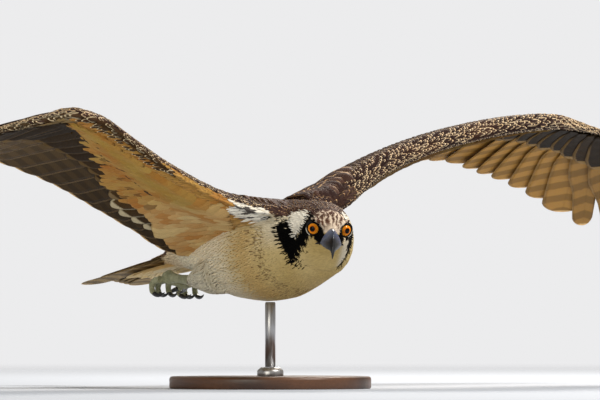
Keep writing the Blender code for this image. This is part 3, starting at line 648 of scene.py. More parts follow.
def node_part(name):
    """A solid of the part as (points, faces)."""
    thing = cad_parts[name]
    matrix = np.array(thing.matrix_world)
    points = np.array([tuple(v.co) for v in thing.data.vertices])
    points = points @ matrix[:3, :3].T + matrix[:3, 3]
    return points, [tuple(p.vertices) for p in thing.data.polygons]


def torso_ring(back, sides=40):
    top, bottom, half = (float(v) for v in curve(TORSO_SIZES, back))
    ring = []
    for k in range(sides):
        angle = 2 * math.pi * k / sides
        aside, rise = math.cos(angle), math.sin(angle)
        aside = math.copysign(abs(aside) ** 0.95, aside) * half
        rise = (top + bottom) / 2 + math.copysign(abs(rise) ** 0.95, rise) * (top - bottom) / 2
        ring.append(POSE @ Vector((aside, back, rise)))
    return ring


def wing_part(side):
    """Arm and hand without feathers."""
    numbers = np.concatenate([np.linspace(-2.6, 13, 26), np.linspace(13.4, 23.4, 22)])
    share = curve(FLESH, numbers)[0]
    places = np.array([0.0, 0.015, 0.05, 0.12, 0.20, 0.34, 0.48, 0.63, 0.78, 0.90, 1.0])
    chord = share[:, None] * places
    number = np.broadcast_to(numbers[:, None], chord.shape)
    middle, normal = wing_point(side, number, chord), wing_normal(side, number, chord)
    half = np.maximum(flesh_half(number, chord), 0.0012)[..., None]
    rings = np.concatenate([middle + normal * half, (middle - normal * half)[:, ::-1]], 1)
    return loft([list(moved(POSE, ring)) for ring in rings])


def neck_fill():
    """Body under the neck's and the throat's feathers, so that the skin has no step there."""
    start, end = HEAD @ Vector((0.0, 0.020, -0.014)), POSE @ Vector((0.0, 0.0, -0.036))
    line = [start.lerp(end, k / 6) for k in range(7)]
    return tube(line, [0.026, 0.030, 0.033, 0.037, 0.041, 0.044, 0.044], 32)


def make_skin():
    """One closed skin under all the plumage, sunk by the coat's depth."""
    parts = [node_part(name) for name in ("torso", "neck", "head", "thigh_left", "thigh_right")]
    parts.append(loft([torso_ring(back) for back in (0.18, 0.2, 0.21, 0.22, 0.23, 0.24, 0.25, 0.262)]))
    parts.append(neck_fill())
    parts += [wing_part(side) for side in (1, -1)]
    skin = new_object("skin", join_up("skin", parts))
    remesh = skin.modifiers.new("remesh", "REMESH")
    remesh.mode = "VOXEL"
    remesh.voxel_size = 0.0020
    relax = skin.modifiers.new("relax", "SMOOTH")
    relax.factor = 0.5
    relax.iterations = 5
    graph = bpy.context.evaluated_depsgraph_get()
    mesh = bpy.data.meshes.new_from_object(skin.evaluated_get(graph))
    skin.modifiers.clear()
    skin.data = mesh
    count = len(mesh.vertices)
    points, normals = np.empty(count * 3, np.float32), np.empty(count * 3, np.float32)
    mesh.vertices.foreach_get("co", points)
    mesh.vertices.foreach_get("normal", normals)
    points, normals = points.reshape(-1, 3).astype(float), normals.reshape(-1, 3).astype(float)
    face = to_head(points)
    near_bill = smooth(0.012, 0.0, face[:, 1]) * (np.linalg.norm(face, axis=1) < 0.06)
    depth = COAT_DEPTH * (1 - 0.6 * near_bill)
    points -= normals * depth[:, None]
    mesh.vertices.foreach_set("co", points.astype(np.float32).ravel())
    mesh.update()
    mesh.shade_smooth()
    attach(skin, "root")
    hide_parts("torso", "neck", "head", "thigh_left", "thigh_right", "tail", "wing_arm_left",
                "wing_arm_right", "wing_hand_left", "wing_hand_right")
    return skin


SKIN = make_skin()


# Where things lie on the bird

class WingMap:
    """Finds the feather number and share of the chord next to points."""

    def __init__(self, side):
        number, chord = np.meshgrid(np.linspace(-3, 23.4, 133), np.linspace(0, 0.8, 65), indexing="ij")
        self.number, self.chord = number.ravel(), chord.ravel()
        self.middle = moved(POSE, wing_point(side, self.number, self.chord))
        self.up = turned(POSE, wing_normal(side, self.number, self.chord))
        self.tree = KDTree(len(self.middle))
        for index, point in enumerate(self.middle):
            self.tree.insert(point, index)
        self.tree.balance()

    def find(self, points):
        index = np.array([self.tree.find(p)[1] for p in points], int)
        above = np.einsum("ij,ij->i", points - self.middle[index], self.up[index])
        return self.number[index], self.chord[index], above


WINGS = {side: WingMap(side) for side in (1, -1)}


def cloud(points, size, seed):
    """Soft noise between about -1 and 1 over places."""
    rng = np.random.default_rng(seed)
    total = np.zeros(len(points))
    for _ in range(7):
        way = unit(rng.normal(size=3)) * rng.uniform(0.6, 1.5) * 2 * math.pi / size
        total += np.sin(points @ way + rng.uniform(0, 2 * math.pi))
    return total / 2.6


def inside(y, z, outline):
    """Which points lie in a closed outline of (y, z)."""
    result = np.zeros(len(y), bool)
    count = len(outline)
    for k in range(count):
        (y0, z0), (y1, z1) = outline[k], outline[(k + 1) % count]
        crosses = (z0 > z) != (z1 > z)
        with np.errstate(divide="ignore", invalid="ignore"):
            at = (y1 - y0) * (z - z0) / (z1 - z0) + y0
        result ^= crosses & (y < at)
    return result


# Black mask through the eye and down the neck, seen from the side in the head's frame: (back, up)
MASK = (
    (-0.0240, -0.0030), (-0.0170, 0.0004), (-0.0110, 0.0060), (0.0000, 0.0120), (0.0150, 0.0115),
    (0.0360, 0.0100), (0.0410, 0.0060), (0.0405, 0.0025), (0.0335, -0.0034), (0.0315, -0.0100), (0.0374, -0.0197),
    (0.0474, -0.0125), (0.0548, -0.0045), (0.0630, -0.0015), (0.0680, -0.0050), (0.0705, -0.0145),
    (0.0640, -0.0220), (0.0576, -0.0298), (0.0496, -0.0421), (0.0525, -0.0495), (0.0487, -0.0532),
    (0.0417, -0.0456), (0.0296, -0.0323), (0.0141, -0.0180), (0.0115, -0.0130), (0.0040, -0.0100),
    (-0.0040, -0.0100), (-0.0090, -0.0140), (-0.0170, -0.0145), (-0.0240, -0.0110),
)
# Ragged white patch behind the eye
TUFT = (
    (0.0652, 0.0030), (0.0600, -0.0010), (0.0548, -0.0045), (0.0474, -0.0125), (0.0374, -0.0197),
    (0.0318, -0.0100), (0.0338, -0.0034), (0.0408, 0.0025), (0.0413, 0.0060), (0.0440, 0.0090),
    (0.0500, 0.0110), (0.0600, 0.0080),
)
BLACK = rgb(5, 3, 3)
DARK_BROWN = rgb(56, 40, 37)
BROWN = rgb(86, 62, 52)
BUFF = rgb(226, 186, 138)
WHITE = rgb(240, 234, 220)
CREAM = rgb(226, 203, 148)
OCHRE = rgb(200, 152, 84)
# Cream plumage as it looks in painted shade, with a painted warm bounce from below
SHADED_TAN = rgb(186, 155, 84)


# Where the brown of the back ends on the flank: (back, up)
BROWN_LINE = (
    (-0.070, 0.0010), (-0.053, -0.0025), (-0.044, -0.0045), (-0.031, -0.0085), (-0.0260, -0.0096),
    (-0.0235, -0.0050), (-0.0215, 0.0030), (-0.018, 0.0070), (0.000, 0.0080), (0.020, 0.0040),
    (0.060, -0.0060), (0.200, -0.0120), (0.260, -0.0200),
)


def paint(share, first, second):
    """Colours (n, 3) between two, by a share (n,)."""
    share = np.clip(np.asarray(share, float), 0, 1)[:, None]
    return np.asarray(first) * (1 - share) + np.asarray(second) * share


class Marks:
    """Colour, fringe and marks of every small feather, from where its root lies."""

    def __init__(self, points, normals):
        count = len(points)
        self.points, self.normals = points, normals
        self.bird, self.face = to_bird(points), to_head(points)
        self.number, self.chord = np.zeros(count), np.zeros(count)
        self.above = np.zeros(count)
        aside, rise = np.abs(self.bird[:, 0]), self.bird[:, 2]
        self.wing = (aside > 0.058) & (rise > -0.045) & ((aside > 0.0635) | (rise > -0.012))
        for side in (1, -1):
            mine = self.wing & (self.bird[:, 0] * side > 0)
            if mine.any():
                self.number[mine], self.chord[mine], self.above[mine] = WINGS[side].find(points[mine])
        self.span_length = np.ones(count)
        for side in (1, -1):
            mine = self.wing & (self.bird[:, 0] * side > 0)
            if mine.any():
                lead = wing_point(side, self.number[mine], 0.0)
                trail = wing_point(side, self.number[mine], 1.0)
                self.span_length[mine] = np.linalg.norm(trail - lead, axis=1)
        self.from_lead = self.chord * self.span_length
        back, rise = self.face[:, 1], self.face[:, 2]
        self.head = (back < 0.036) & (np.linalg.norm(self.face, axis=1) < 0.075)
        aside = np.abs(self.face[:, 0])
        ragged = 0.0022 * cloud(points, 0.006, 3)
        flank = aside > np.interp(back, (-0.022, -0.012, 0.0, 0.01), (0.0040, 0.0085, 0.0095, 0.0120))
        near = np.linalg.norm(self.face - (0, 0.03, -0.015), axis=1) < 0.085
        seen = back + np.interp(back, (-0.02, 0.0, 0.03, 0.06), (0.0006, 0.0016, 0.0036, 0.0056))
        self.mask = flank & near & (aside < 0.066) & inside(seen + ragged, rise + ragged, MASK)
        self.tuft = (aside > 0.012) & (aside < 0.048) & near & inside(seen - ragged, rise, TUFT) & ~self.mask
        edge_height = np.interp(self.number, (1.0, 9.0, 13.0, 16.0), (0.0050, 0.0036, 0.0020, -0.0010))
        edge_height = edge_height * smooth(0.030, 0.012, self.from_lead)
        left_height = -0.011 * smooth(0.034, 0.020, self.from_lead)
        edge_height = np.where(self.bird[:, 0] > 0, left_height, edge_height)
        self.top = self.wing & (self.above > edge_height)
        self.back = self.on_back(ragged)
        self.leg = (self.bird[:, 1] > 0.095) & (self.bird[:, 2] < -0.040) & ~self.wing

    def on_back(self, ragged):
        """Brown of the back and the nape."""
        line = np.interp(self.bird[:, 1], *zip(*BROWN_LINE))
        line = line + 0.012 * smooth(0.049, 0.057, np.abs(self.bird[:, 0])) * smooth(0.03, 0.0, self.bird[:, 1])
        high = (self.bird[:, 2] > line + 0.6 * ragged) | (self.face[:, 2] > 0.004)
        return high & (self.face[:, 1] > 0.030) & ~self.wing

    def spacing(self):
        """Distance from feather to feather."""
        back = self.face[:, 1]
        size = np.interp(back, (-0.022, 0.0, 0.03, 0.06, 0.10), (0.0014, 0.0018, 0.0022, 0.0027, 0.0033))
        size = np.where(self.mask | self.tuft, 0.85 * size, size)
        size = np.where(self.leg, 0.0036, size)
        size = np.where(self.back, np.interp(back, (0.03, 0.07, 0.13, 0.20), (0.0023, 0.0030, 0.0046, 0.0058)), size)
        arm = np.interp(self.from_lead, (0.0, 0.010, 0.018, 0.040, 0.080), (0.0031, 0.0032, 0.0038, 0.0048, 0.0056))
        under = np.interp(self.from_lead, (0.0, 0.010, 0.020, 0.050), (0.0037, 0.0040, 0.0055, 0.0075))
        wrist = 1 + 0.35 * np.exp(-((self.number - 15.0) / 3.0) ** 2)
        return np.where(self.wing, np.where(self.top, arm, under) * wrist, size)

    def heading(self):
        """Way each feather points, in the row's frame."""
        head_way = turned(HEAD, np.array([[0.0, 1.0, -0.12]]))
        throat_way = turned(HEAD, np.array([[0.0, 0.85, -0.52]]))
        body_way = turned(POSE, np.array([[0.0, 1.0, 0.0]]))
        low = smooth(-0.012, -0.035, self.face[:, 2])[:, None]
        front = head_way * (1 - low) + throat_way * low
        share = smooth(0.015, 0.065, self.face[:, 1])[:, None]
        way = front * (1 - share) + body_way * share
        leg_way = turned(POSE, np.array([[0.0, 1.0, -0.15]]))
        way = np.where(self.leg[:, None], leg_way, way)
        out = turned(POSE, np.array([[1.0, 0.0, 0.0]])) * np.sign(self.bird[:, :1])
        shoulder = smooth(0.034, 0.050, np.abs(self.bird[:, 0])) * smooth(0.03, 0.0, self.bird[:, 1])
        way = way + out * (1.3 * shoulder * smooth(-0.02, 0.0, self.bird[:, 2]))[:, None]
        hand = smooth(12.0, 16.0, self.number)[:, None]
        nose = smooth(0.020, 0.006, self.from_lead)[:, None]
        wing_way = body_way * (1 - 0.2 * hand - 0.45 * nose) + out * (0.14 + 0.75 * hand + 1.1 * nose)
        return unit(np.where(self.wing[:, None], wing_way, way))

    def looks(self):
        """Tint, fringe and marks, each (n, 4)."""
        points, bird, face = self.points, self.bird, self.face
        count = len(points)
        soft, patchy = cloud(points, 0.05, 5), cloud(points, 0.018, 9)
        chance = DRAW.uniform(0, 1, count)
        # Cream turning tan towards the bottom of the body: painted shade and a painted warm bounce from below
        tint = paint(smooth(-0.01, -0.085, bird[:, 2]) * 0.5 + 0.12 * soft, CREAM, SHADED_TAN)
        fringe = np.repeat(np.array([WHITE]), count, 0)
        fringe_share = np.full(count, 0.06)
        bars, bar_count, centre = np.zeros(count), np.full(count, 0.3), np.zeros(count)

        def lay(where, colour, share=1.0):
            where = where.astype(float) * share
            tint[:] = paint(where, tint, colour)

        # White side of the neck, the throat in painted tan shade, the cheek on the lit side painted whiter, and the
        # flecks across the breast
        ring = (bird[:, 1] - 0.006 - 0.002 * patchy) / 0.0085
        front_of_ring = smooth(0.010, -0.010, bird[:, 1])
        lay(front_of_ring * smooth(-0.050, -0.020, bird[:, 2]), WHITE, 0.5)
        # Throat under the head painted tan: painted shade
        lay(smooth(0.04, -0.01, face[:, 1]) * (face[:, 2] < 0.0), SHADED_TAN, 0.62)
        lay(smooth(0.03, 0.09, bird[:, 1]), rgb(250, 240, 214), 0.80)
        # Cheek on the side the key light falls on, painted whiter: painted light
        lit_cheek = smooth(0.010, 0.020, face[:, 0]) * self.head
        lay(lit_cheek, WHITE, 0.6)
        lay(np.exp(-((bird[:, 1] - 0.030) / 0.014) ** 2) * (np.abs(bird[:, 0]) > 0.015), OCHRE, 0.4)
        fleck = (np.abs(ring) < 0.85) & (chance < 0.34) & (bird[:, 2] < -0.012) & ~self.wing
        lay(fleck, rgb(104, 74, 42), 0.8)
        lay(self.leg, rgb(210, 204, 182), 0.7)
        tail_side = smooth(0.17, 0.21, bird[:, 1])
        lay(tail_side * (bird[:, 2] < -0.01), OCHRE, 0.4)

        # Brown back and nape
        back = self.back
        tint[back] = paint(chance[back] * 0.6 + 0.2 * patchy[back], DARK_BROWN, BROWN)
        fringe[back] = paint(chance[back], BUFF, rgb(196, 150, 104))
        fringe_share[back] = 0.75

        # Crown: white feathers with dark middles
        crown = self.head & (face[:, 2] > np.interp(face[:, 1], (-0.02, 0.0, 0.03), (0.0, 0.009, 0.0)))
        streak = np.sin(face[:, 0] * 2 * math.pi / 0.0052 + 1.6 * cloud(points, 0.012, 14))
        dark = smooth(-0.60, 0.35, streak + 0.9 * (chance - 0.5) + 0.35 * cloud(points, 0.014, 21))
        dark = dark * smooth(-0.022, -0.012, face[:, 1])
        shade = paint(chance, DARK_BROWN, rgb(110, 74, 56))
        pale = np.array(rgb(238, 218, 194))
        tint[crown] = pale * (1 - dark[crown, None]) + shade[crown] * dark[crown, None]
        fringe[crown], fringe_share[crown] = rgb(236, 210, 184), 0.5
        nape = crown & (face[:, 1] > 0.018)
        back_share = smooth(0.016, 0.034, face[nape, 1])[:, None]
        tint[nape] = tint[nape] * (1 - back_share) + np.array(BROWN) * back_share

        # Mask and the white tuft behind the eye
        tint[self.mask], fringe[self.mask] = BLACK, BLACK
        tint[self.tuft] = WHITE
        fringe_share[self.tuft] = 0.3

        # Wings: scaly brown above and along the leading edge, cream and ochre lining below
        top = self.top
        tint[top] = paint(chance[top] * 0.7, DARK_BROWN, BROWN)
        fringe[top] = paint(chance[top] * 0.6 + 0.3, BUFF, rgb(246, 222, 182))
        edge_band = smooth(0.030, 0.008, self.from_lead)
        fringe_share[top] = 0.42 + 0.56 * edge_band[top]
        tint[top] = paint(0.6 * edge_band[top], tint[top], rgb(38, 27, 27))
        warm = smooth(-0.3, 0.8, cloud(points, 0.06, 31)) * edge_band
        tint[top] = paint(0.10 * warm[top], tint[top], rgb(150, 100, 66))
        lining = self.wing & ~top
        yellow = smooth(0.0, 0.30, self.chord) * smooth(0.42, 0.22, self.chord)
        shade = paint(0.5 + 0.35 * soft + 0.25 * patchy, rgb(180, 140, 74), rgb(174, 120, 58))
        shade = paint(0.6 * yellow, shade, rgb(168, 138, 62))
        shade = paint(smooth(3.0, -1.0, self.number) * 0.7, shade, rgb(200, 166, 112))
        tint[lining] = shade[lining]
        spot_reach = np.interp(self.number, (5.0, 8.0, 14.0, 18.0), (0.0, 0.0045, 0.006, 0.012))
        spot = lining & (self.from_lead < spot_reach)
        neck = lining & (bird[:, 0] < 0) & (self.number < 2.6) & (self.from_lead < 0.016)
        tint[neck] = paint(smooth(0.80, 0.86, chance[neck]), WHITE, rgb(84, 78, 74))
        tint[spot] = paint(np.full(spot.sum(), 0.9), tint[spot], rgb(36, 26, 24))
        fringe[spot], fringe_share[spot] = rgb(232, 212, 174), 0.95
        blot = lining & (chance < 0.10) & (self.chord > 0.28)
        tint[blot] = rgb(92, 62, 40)
        hand_lining = lining & (self.number > 13.6) & ~spot
        tint[hand_lining] = paint(0.6 * chance[hand_lining], rgb(96, 80, 56), rgb(168, 138, 86))
        uneven = np.where(top | back | self.mask, 0.10, 0.035)
        tint *= (1.0 + uneven * DRAW.normal(size=count))[:, None].clip(0.75, 1.25)
        tint = tint.clip(0.002, 0.95)
        marks = np.stack([bars, bar_count, centre, chance], 1)
        return {"tint": rgba(tint), "fringe": rgba(fringe, fringe_share), "marks": marks}


def skin_triangles():
    mesh = SKIN.data
    mesh.calc_loop_triangles()
    triangles = np.empty(len(mesh.loop_triangles) * 3, np.int32)
    mesh.loop_triangles.foreach_get("vertices", triangles)
    count = len(mesh.vertices)
    points, normals = np.empty(count * 3, np.float32), np.empty(count * 3, np.float32)
    mesh.vertices.foreach_get("co", points)
    mesh.vertices.foreach_get("normal", normals)
    return points.reshape(-1, 3).astype(float), normals.reshape(-1, 3).astype(float), triangles.reshape(-1, 3)


POINTS, NORMALS, TRIANGLES = skin_triangles()
TREE = BVHTree.FromPolygons([tuple(p) for p in POINTS], TRIANGLES.tolist())


def scatter():
    """Roots spread evenly over the skin, each as far from the next as its spacing says."""
    a, b, c = (POINTS[TRIANGLES[:, k]] for k in range(3))
    area = np.linalg.norm(np.cross(b - a, c - a), axis=1) / 2
    middle = (a + b + c) / 3
    spacing = Marks(middle, NORMALS[TRIANGLES[:, 0]]).spacing()
    weight = area / spacing**2
    tries = int(weight.sum() * 7)
    pick = np.sort(DRAW.choice(len(area), tries, p=weight / weight.sum()))
    u, v = DRAW.uniform(size=(2, tries))
    flip = u + v > 1
    u[flip], v[flip] = 1 - u[flip], 1 - v[flip]
    place = a[pick] + (b - a)[pick] * u[:, None] + (c - a)[pick] * v[:, None]
    way = unit(NORMALS[TRIANGLES[pick]].mean(1))
    room = spacing[pick]
    tree = KDTree(tries)
    for index, point in enumerate(place):
        tree.insert(point, index)
    tree.balance()
    alive = np.ones(tries, bool)
    kept = []
    for index in DRAW.permutation(tries):
        if alive[index]:
            kept.append(index)
            for _, other, _ in tree.find_range(place[index], room[index]):
                alive[other] = False
    kept = np.array(kept)
    return place[kept], way[kept]


# Small feathers

SMALL_OUTLINE = ((0.55, 0.55), (0.95, 0.95), (1.0, 1.0), (0.72, 0.72), (0.20, 0.20))
POINTED_OUTLINE = ((0.5, 0.5), (0.9, 0.9), (0.8, 0.8), (0.45, 0.45), (0.08, 0.08))


def unwrap(points):
    """Place of each root on a flat map of the skin's own shape: wings above and below, body, head."""
    bird, face = to_bird(points), to_head(points)
    marks = Marks(points, points)
    place = np.empty((len(points), 2))
    turn = np.arctan2(bird[:, 0], -(bird[:, 2] + 0.035)) / (2 * math.pi) + 0.5
    place[:, 0] = 0.02 + 0.44 * turn
    place[:, 1] = 0.02 + 0.44 * np.clip((bird[:, 1] + 0.08) / 0.35, 0, 1)
    head = marks.head
    turn = np.arctan2(face[:, 0], -(face[:, 2] + 0.015)) / (2 * math.pi) + 0.5
    place[head, 0] = 0.54 + 0.44 * turn[head]
    place[head, 1] = 0.02 + 0.44 * np.clip((face[head, 1] + 0.03) / 0.08, 0, 1)
    wing = marks.wing
    side = np.where(bird[:, 0] > 0, 0.5, 0.0)
    place[wing, 0] = side[wing] + 0.02 + 0.45 * (marks.number[wing] + 3) / 27
    shift = np.where(marks.above > 0, 0.5, 0.75)
    place[wing, 1] = shift[wing] + 0.01 + 0.22 * np.clip(marks.chord[wing] / 0.8, 0, 1)
    return place


def lay_small(name, roots, normals, chosen, length, width, lift, outline, mat, spread, arch=0.2):
    """Small feathers on the skin that bend along it and stand off at their tips."""
    roots, normals = roots[chosen], normals[chosen]
    marks = Marks(roots, normals)
    way = marks.heading()
    spin = DRAW.normal(0, spread, len(roots))[:, None]
    way = way - normals * np.einsum("ij,ij->i", way, normals)[:, None]
    way = unit(way)
    way = unit(way + np.cross(normals, way) * spin)
    size = marks.spacing() * DRAW.uniform(0.9, 1.12, len(roots))
    reach = size * length
    if mat is RAGGED:
        reach = reach * np.interp(marks.face[:, 1], (-0.02, 0.0, 0.025, 0.05), (0.5, 0.6, 0.85, 1.0))
    for side in (1, -1):
        gap = np.array(eye_frame(side).translation) - roots
        far = np.linalg.norm(gap, axis=1)
        towards = np.einsum("ij,ij->i", way, gap) / far > 0.3
        reach = np.where(towards, np.minimum(reach, np.maximum(far - EYE_RADIUS - 0.0014, 0.0010)), reach)
    stations = len(outline)
    line = np.empty((len(roots), stations, 3))
    up = np.empty_like(line)
    here, ahead, normal = roots.copy(), way.copy(), normals.copy()
    raised = lift * (size / 0.005) ** 0.7
    for k in range(stations):
        t = k / (stations - 1)
        if k:
            here = here + ahead * (reach / (stations - 1))[:, None]
            for index in range(len(here)):
                spot, face_normal, _, _ = TREE.find_nearest(here[index])
                if spot is not None:
                    here[index] = spot
                    normal[index] = 0.5 * normal[index] + 0.5 * np.array(face_normal)
            normal = unit(normal)
            ahead = unit(ahead - normal * np.einsum("ij,ij->i", ahead, normal)[:, None])
        line[:, k] = here + normal * (raised * t**0.8 - 0.0003)[:, None]
        up[:, k] = normal
    across = unit(np.cross(np.gradient(line, axis=1), up))
    thick = np.linspace(0.0005, 0.0002, stations) * (0.5 if mat is SOFT else 1.0)
    looks = marks.looks()
    thing = plumage(name, line, across, up, (size * width)[:, None], outline, thick, arch, looks,
                    unwrap(roots), (0.003, 0.003), mat)
    return thing


def make_small_feathers():
    roots, normals = scatter()
    marks = Marks(roots, normals)
    face, bird = marks.face, marks.bird
    eye_gap = np.ones(len(roots), bool)
    for side in (1, -1):
        centre = np.array(eye_frame(side).translation)
        eye_gap &= np.linalg.norm(roots - centre, axis=1) > EYE_RADIUS + 0.0017
    bill = (face[:, 1] < -0.0195) & (np.abs(face[:, 0]) < 0.0105) & (face[:, 2] < 0.0075)
    keep = eye_gap & ~bill
    inside_end = (bird[:, 1] > 0.258)
    keep &= ~inside_end
    head = keep & marks.head
    lining = keep & marks.wing & ~marks.top
    ruff = keep & (marks.tuft | marks.mask)
    smooth_head = head & ~ruff
    throat = smooth_head & (face[:, 2] < -0.004)
    body = keep & ~marks.head & ~marks.wing & ~ruff
    brown_back = body & marks.back
    lay_small("plumage_crown", roots, normals, smooth_head & ~throat, 3.2, 0.55, 0.0006,
              POINTED_OUTLINE, SMALL, 0.10)
    lay_small("plumage_throat", roots, normals, throat, 4.2, 0.80, 0.0005,
              POINTED_OUTLINE, SOFT, 0.06, 0.05)
    lay_small("plumage_mask", roots, normals, ruff, 4.4, 0.62, 0.0010,
              POINTED_OUTLINE, RAGGED, 0.14)
    lay_small("plumage_belly", roots, normals, body & ~brown_back, 5.2, 0.86,
              0.00053, POINTED_OUTLINE, SOFT, 0.06, 0.05)
    lay_small("plumage_back", roots, normals, brown_back, 3.2, 0.86,
              0.0010, SMALL_OUTLINE, SMALL, 0.12)
    for side, side_name in ((1, "left"), (-1, "right")):
        mine = bird[:, 0] * side > 0
        nose = marks.from_lead < 0.024
        lay_small("edge_coverts_" + side_name, roots, normals, keep & marks.top & mine & nose,
                  2.9, 0.84, 0.0011, SMALL_OUTLINE, SCALY, 0.10)
        lay_small("lesser_coverts_" + side_name, roots, normals, keep & marks.top & mine & ~nose,
                  2.7, 0.80, 0.0011, SMALL_OUTLINE, SMALL, 0.08)
        lay_small("wing_lining_" + side_name, roots, normals, lining & mine, 3.4,
                  0.72, 0.0011, SMALL_OUTLINE, SOFT, 0.09)


# Flight feathers and greater coverts

def vane_places(stations):
    """Places along a vane, closer together towards its round tip."""
    return 1 - (1 - np.linspace(0, 1, stations)) ** 1.6


def outlines(stations, finger=False):
    """Half width along a vane, on its outer and its inner edge."""
    t = vane_places(stations)
    if finger:
        end = np.sqrt(1 - ((t - 0.91) / 0.0905).clip(0, 1) ** 2)
        outer = np.interp(t, (0, 0.28, 0.5, 0.68, 1), (0.42, 0.80, 0.74, 0.44, 0.36)) * end
        inner = np.interp(t, (0, 0.28, 0.5, 0.68, 1), (0.42, 0.95, 0.92, 0.62, 0.47)) * end
    else:
        end = np.sqrt(1 - ((t - 0.84) / 0.1605).clip(0, 1) ** 2)
        outer = np.interp(t, (0, 0.45, 0.90, 1), (0.42, 0.90, 0.98, 0.96)) * end
        inner = np.interp(t, (0, 0.45, 0.90, 1), (0.42, 0.98, 1.05, 1.05)) * end
    return np.stack([outer, inner], 1).clip(0.05, 1.0)


def leaf(stations):
    """Rounded covert."""
    t = vane_places(stations)
    width = np.interp(t, (0, 0.35, 0.72, 1), (0.5, 0.92, 0.98, 0.9))
    width = width * np.sqrt(np.clip(1 - ((t - 0.70) / 0.302).clip(0, 1) ** 2, 0, 1))
    return np.stack([width * 0.95, width], 1).clip(0.07, 1.0)


def soft_leaf(stations):
    """Under covert that runs out to a soft point."""
    t = vane_places(stations)
    width = np.interp(t, (0, 0.3, 0.55, 0.8, 0.93, 1), (0.5, 0.9, 0.95, 0.72, 0.38, 0.10))
    return np.stack([width * 0.95, width], 1)


def wing_vanes(side, number, start, end, height, width_share, outline, step=1.0, slant=0.0):
    """Lines and frames of vanes between two shares of the chord, in the row's frame."""
    t = vane_places(len(outline))
    chord = start[:, None] + (end - start)[:, None] * t
    place = number[:, None] + slant * t
    middle = wing_point(side, place, chord)
    normal = wing_normal(side, place, np.minimum(chord, 0.97))
    beyond = np.where(place < FEATHERS - 1.01, 0.5, 0.0)
    span = wing_point(side, place + beyond, chord) - wing_point(side, place - 0.5, chord)
    spacing = np.linalg.norm(span, axis=-1) / (0.5 + beyond) * step
    lines = middle + normal * height(place, chord, t)[..., None]
    ahead = np.gradient(lines, axis=1)
    out = unit(np.cross(ahead, normal))
    out *= np.sign(out[..., :1]) * side
    tilt = np.radians(curve(SHINGLE, number)[0] + DRAW.normal(0, 0.35, len(number)))[:, None, None]
    across = out * np.cos(tilt) + normal * np.sin(tilt)
    up = normal * np.cos(tilt) - out * np.sin(tilt)
    share = width_share * (1 + DRAW.uniform(-0.04, 0.04, len(number)))[:, None]
    half = np.minimum(spacing * share, VANE_WIDEST)
    return moved(POSE, lines), turned(POSE, across), turned(POSE, up), half


def rows_of(count, columns):
    """Corners and size of the patches of count long feathers in an atlas."""
    index = np.arange(count)
    rows = math.ceil(count / columns)
    place = np.stack([(index % columns) / columns, (index // columns) / rows], 1) + 0.004
    return place, (1 / columns - 0.008, 1 / rows - 0.008)


def feather_looks(tint, fringe, fringe_share, bars, bar_count, centre=0.0, spread=0.08):
    count = len(tint)
    vary = (1 + spread * DRAW.normal(size=(count, 1))).clip(0.7, 1.3)
    fringe = np.broadcast_to(np.asarray(fringe, float), (count, 3))
    columns = (np.broadcast_to(np.asarray(v, float), count) for v in (bars, bar_count, centre))
    marks = np.stack([*columns, DRAW.uniform(0, 1, count)], 1)
    return {"tint": rgba(tint * vary), "fringe": rgba(fringe, fringe_share), "marks": marks}


def make_flight(side, side_name):
    """Tertials, secondaries and primaries."""
    groups = (("secondaries", np.arange(-2, FIRST_HAND), False),
              ("primaries", np.arange(FIRST_HAND, FIRST_FINGER), False),
              ("fingers", np.arange(FIRST_FINGER, FEATHERS), True))
    for group, number, finger in groups:
        number = number.astype(float)
        outline = outlines(26, finger)
        share = curve(FLESH, number)[0]
        end = 1.0 - DRAW.uniform(0, 0.012, len(number))
        points, across, up, half = wing_vanes(side, number, share * 0.7, end,
                                              lambda n, c, t: 0.0004 * np.sin(t * math.pi),
                                              1.12 if group == "secondaries" else 0.96, outline)
        outer = smooth(6.0, 15.0, number)
        # Undersides of the flight feathers, the same plumage on both wings: the left wing's painted lighter as
        # painted backlight through the feathers, the right wing's painted darker as painted shade
        if side > 0:
            under = paint(outer, rgb(160, 114, 44), rgb(184, 136, 64))
        else:
            under = paint(outer, rgb(68, 51, 28), rgb(112, 88, 54))
        tint = paint(0.35 * DRAW.uniform(0, 1, len(number)), under, under * 0.72)
        tint = paint(0.4 * smooth(17.0, 22.0, number), tint, rgb(44, 33, 26))
        brown = paint(DRAW.uniform(0, 0.7, len(number)), DARK_BROWN, BROWN)
        # Orange-pale fringe at the tips: the feathers' own pale edges, warmed into a painted backlight glow along
        # the trailing edge
        looks = feather_looks(brown, rgb(240, 196, 132), 0.9, 0.62 if side > 0 else 0.52, 0.7)
        place, patch = rows_of(len(number), 8)
        thick = np.linspace(0.0009, 0.00035, len(outline))
        thing = plumage(group + "_" + side_name, points, across, up, half, outline, thick, 0.05, looks,
                        place, patch, FLIGHT, 9, rgba(tint))


# Ends of the pale lining and of the dark greater coverts below, as shares of the chord
LINING_END = (
    (-3, 0.88), (-0.25, 0.88), (0.25, 0.86), (1.5, 0.82), (3, 0.72), (4.5, 0.71), (5.25, 0.68), (6.25, 0.64),
    (7.5, 0.53), (9, 0.40), (10.75, 0.31), (12.3, 0.20), (14, 0.12), (16, 0.10), (23, 0.08),
)
DARK_END = ((-3, 0.80), (3.5, 0.80), (7.25, 0.62), (8.75, 0.58), (11, 0.56), (13, 0.56), (18, 0.46), (23, 0.34))


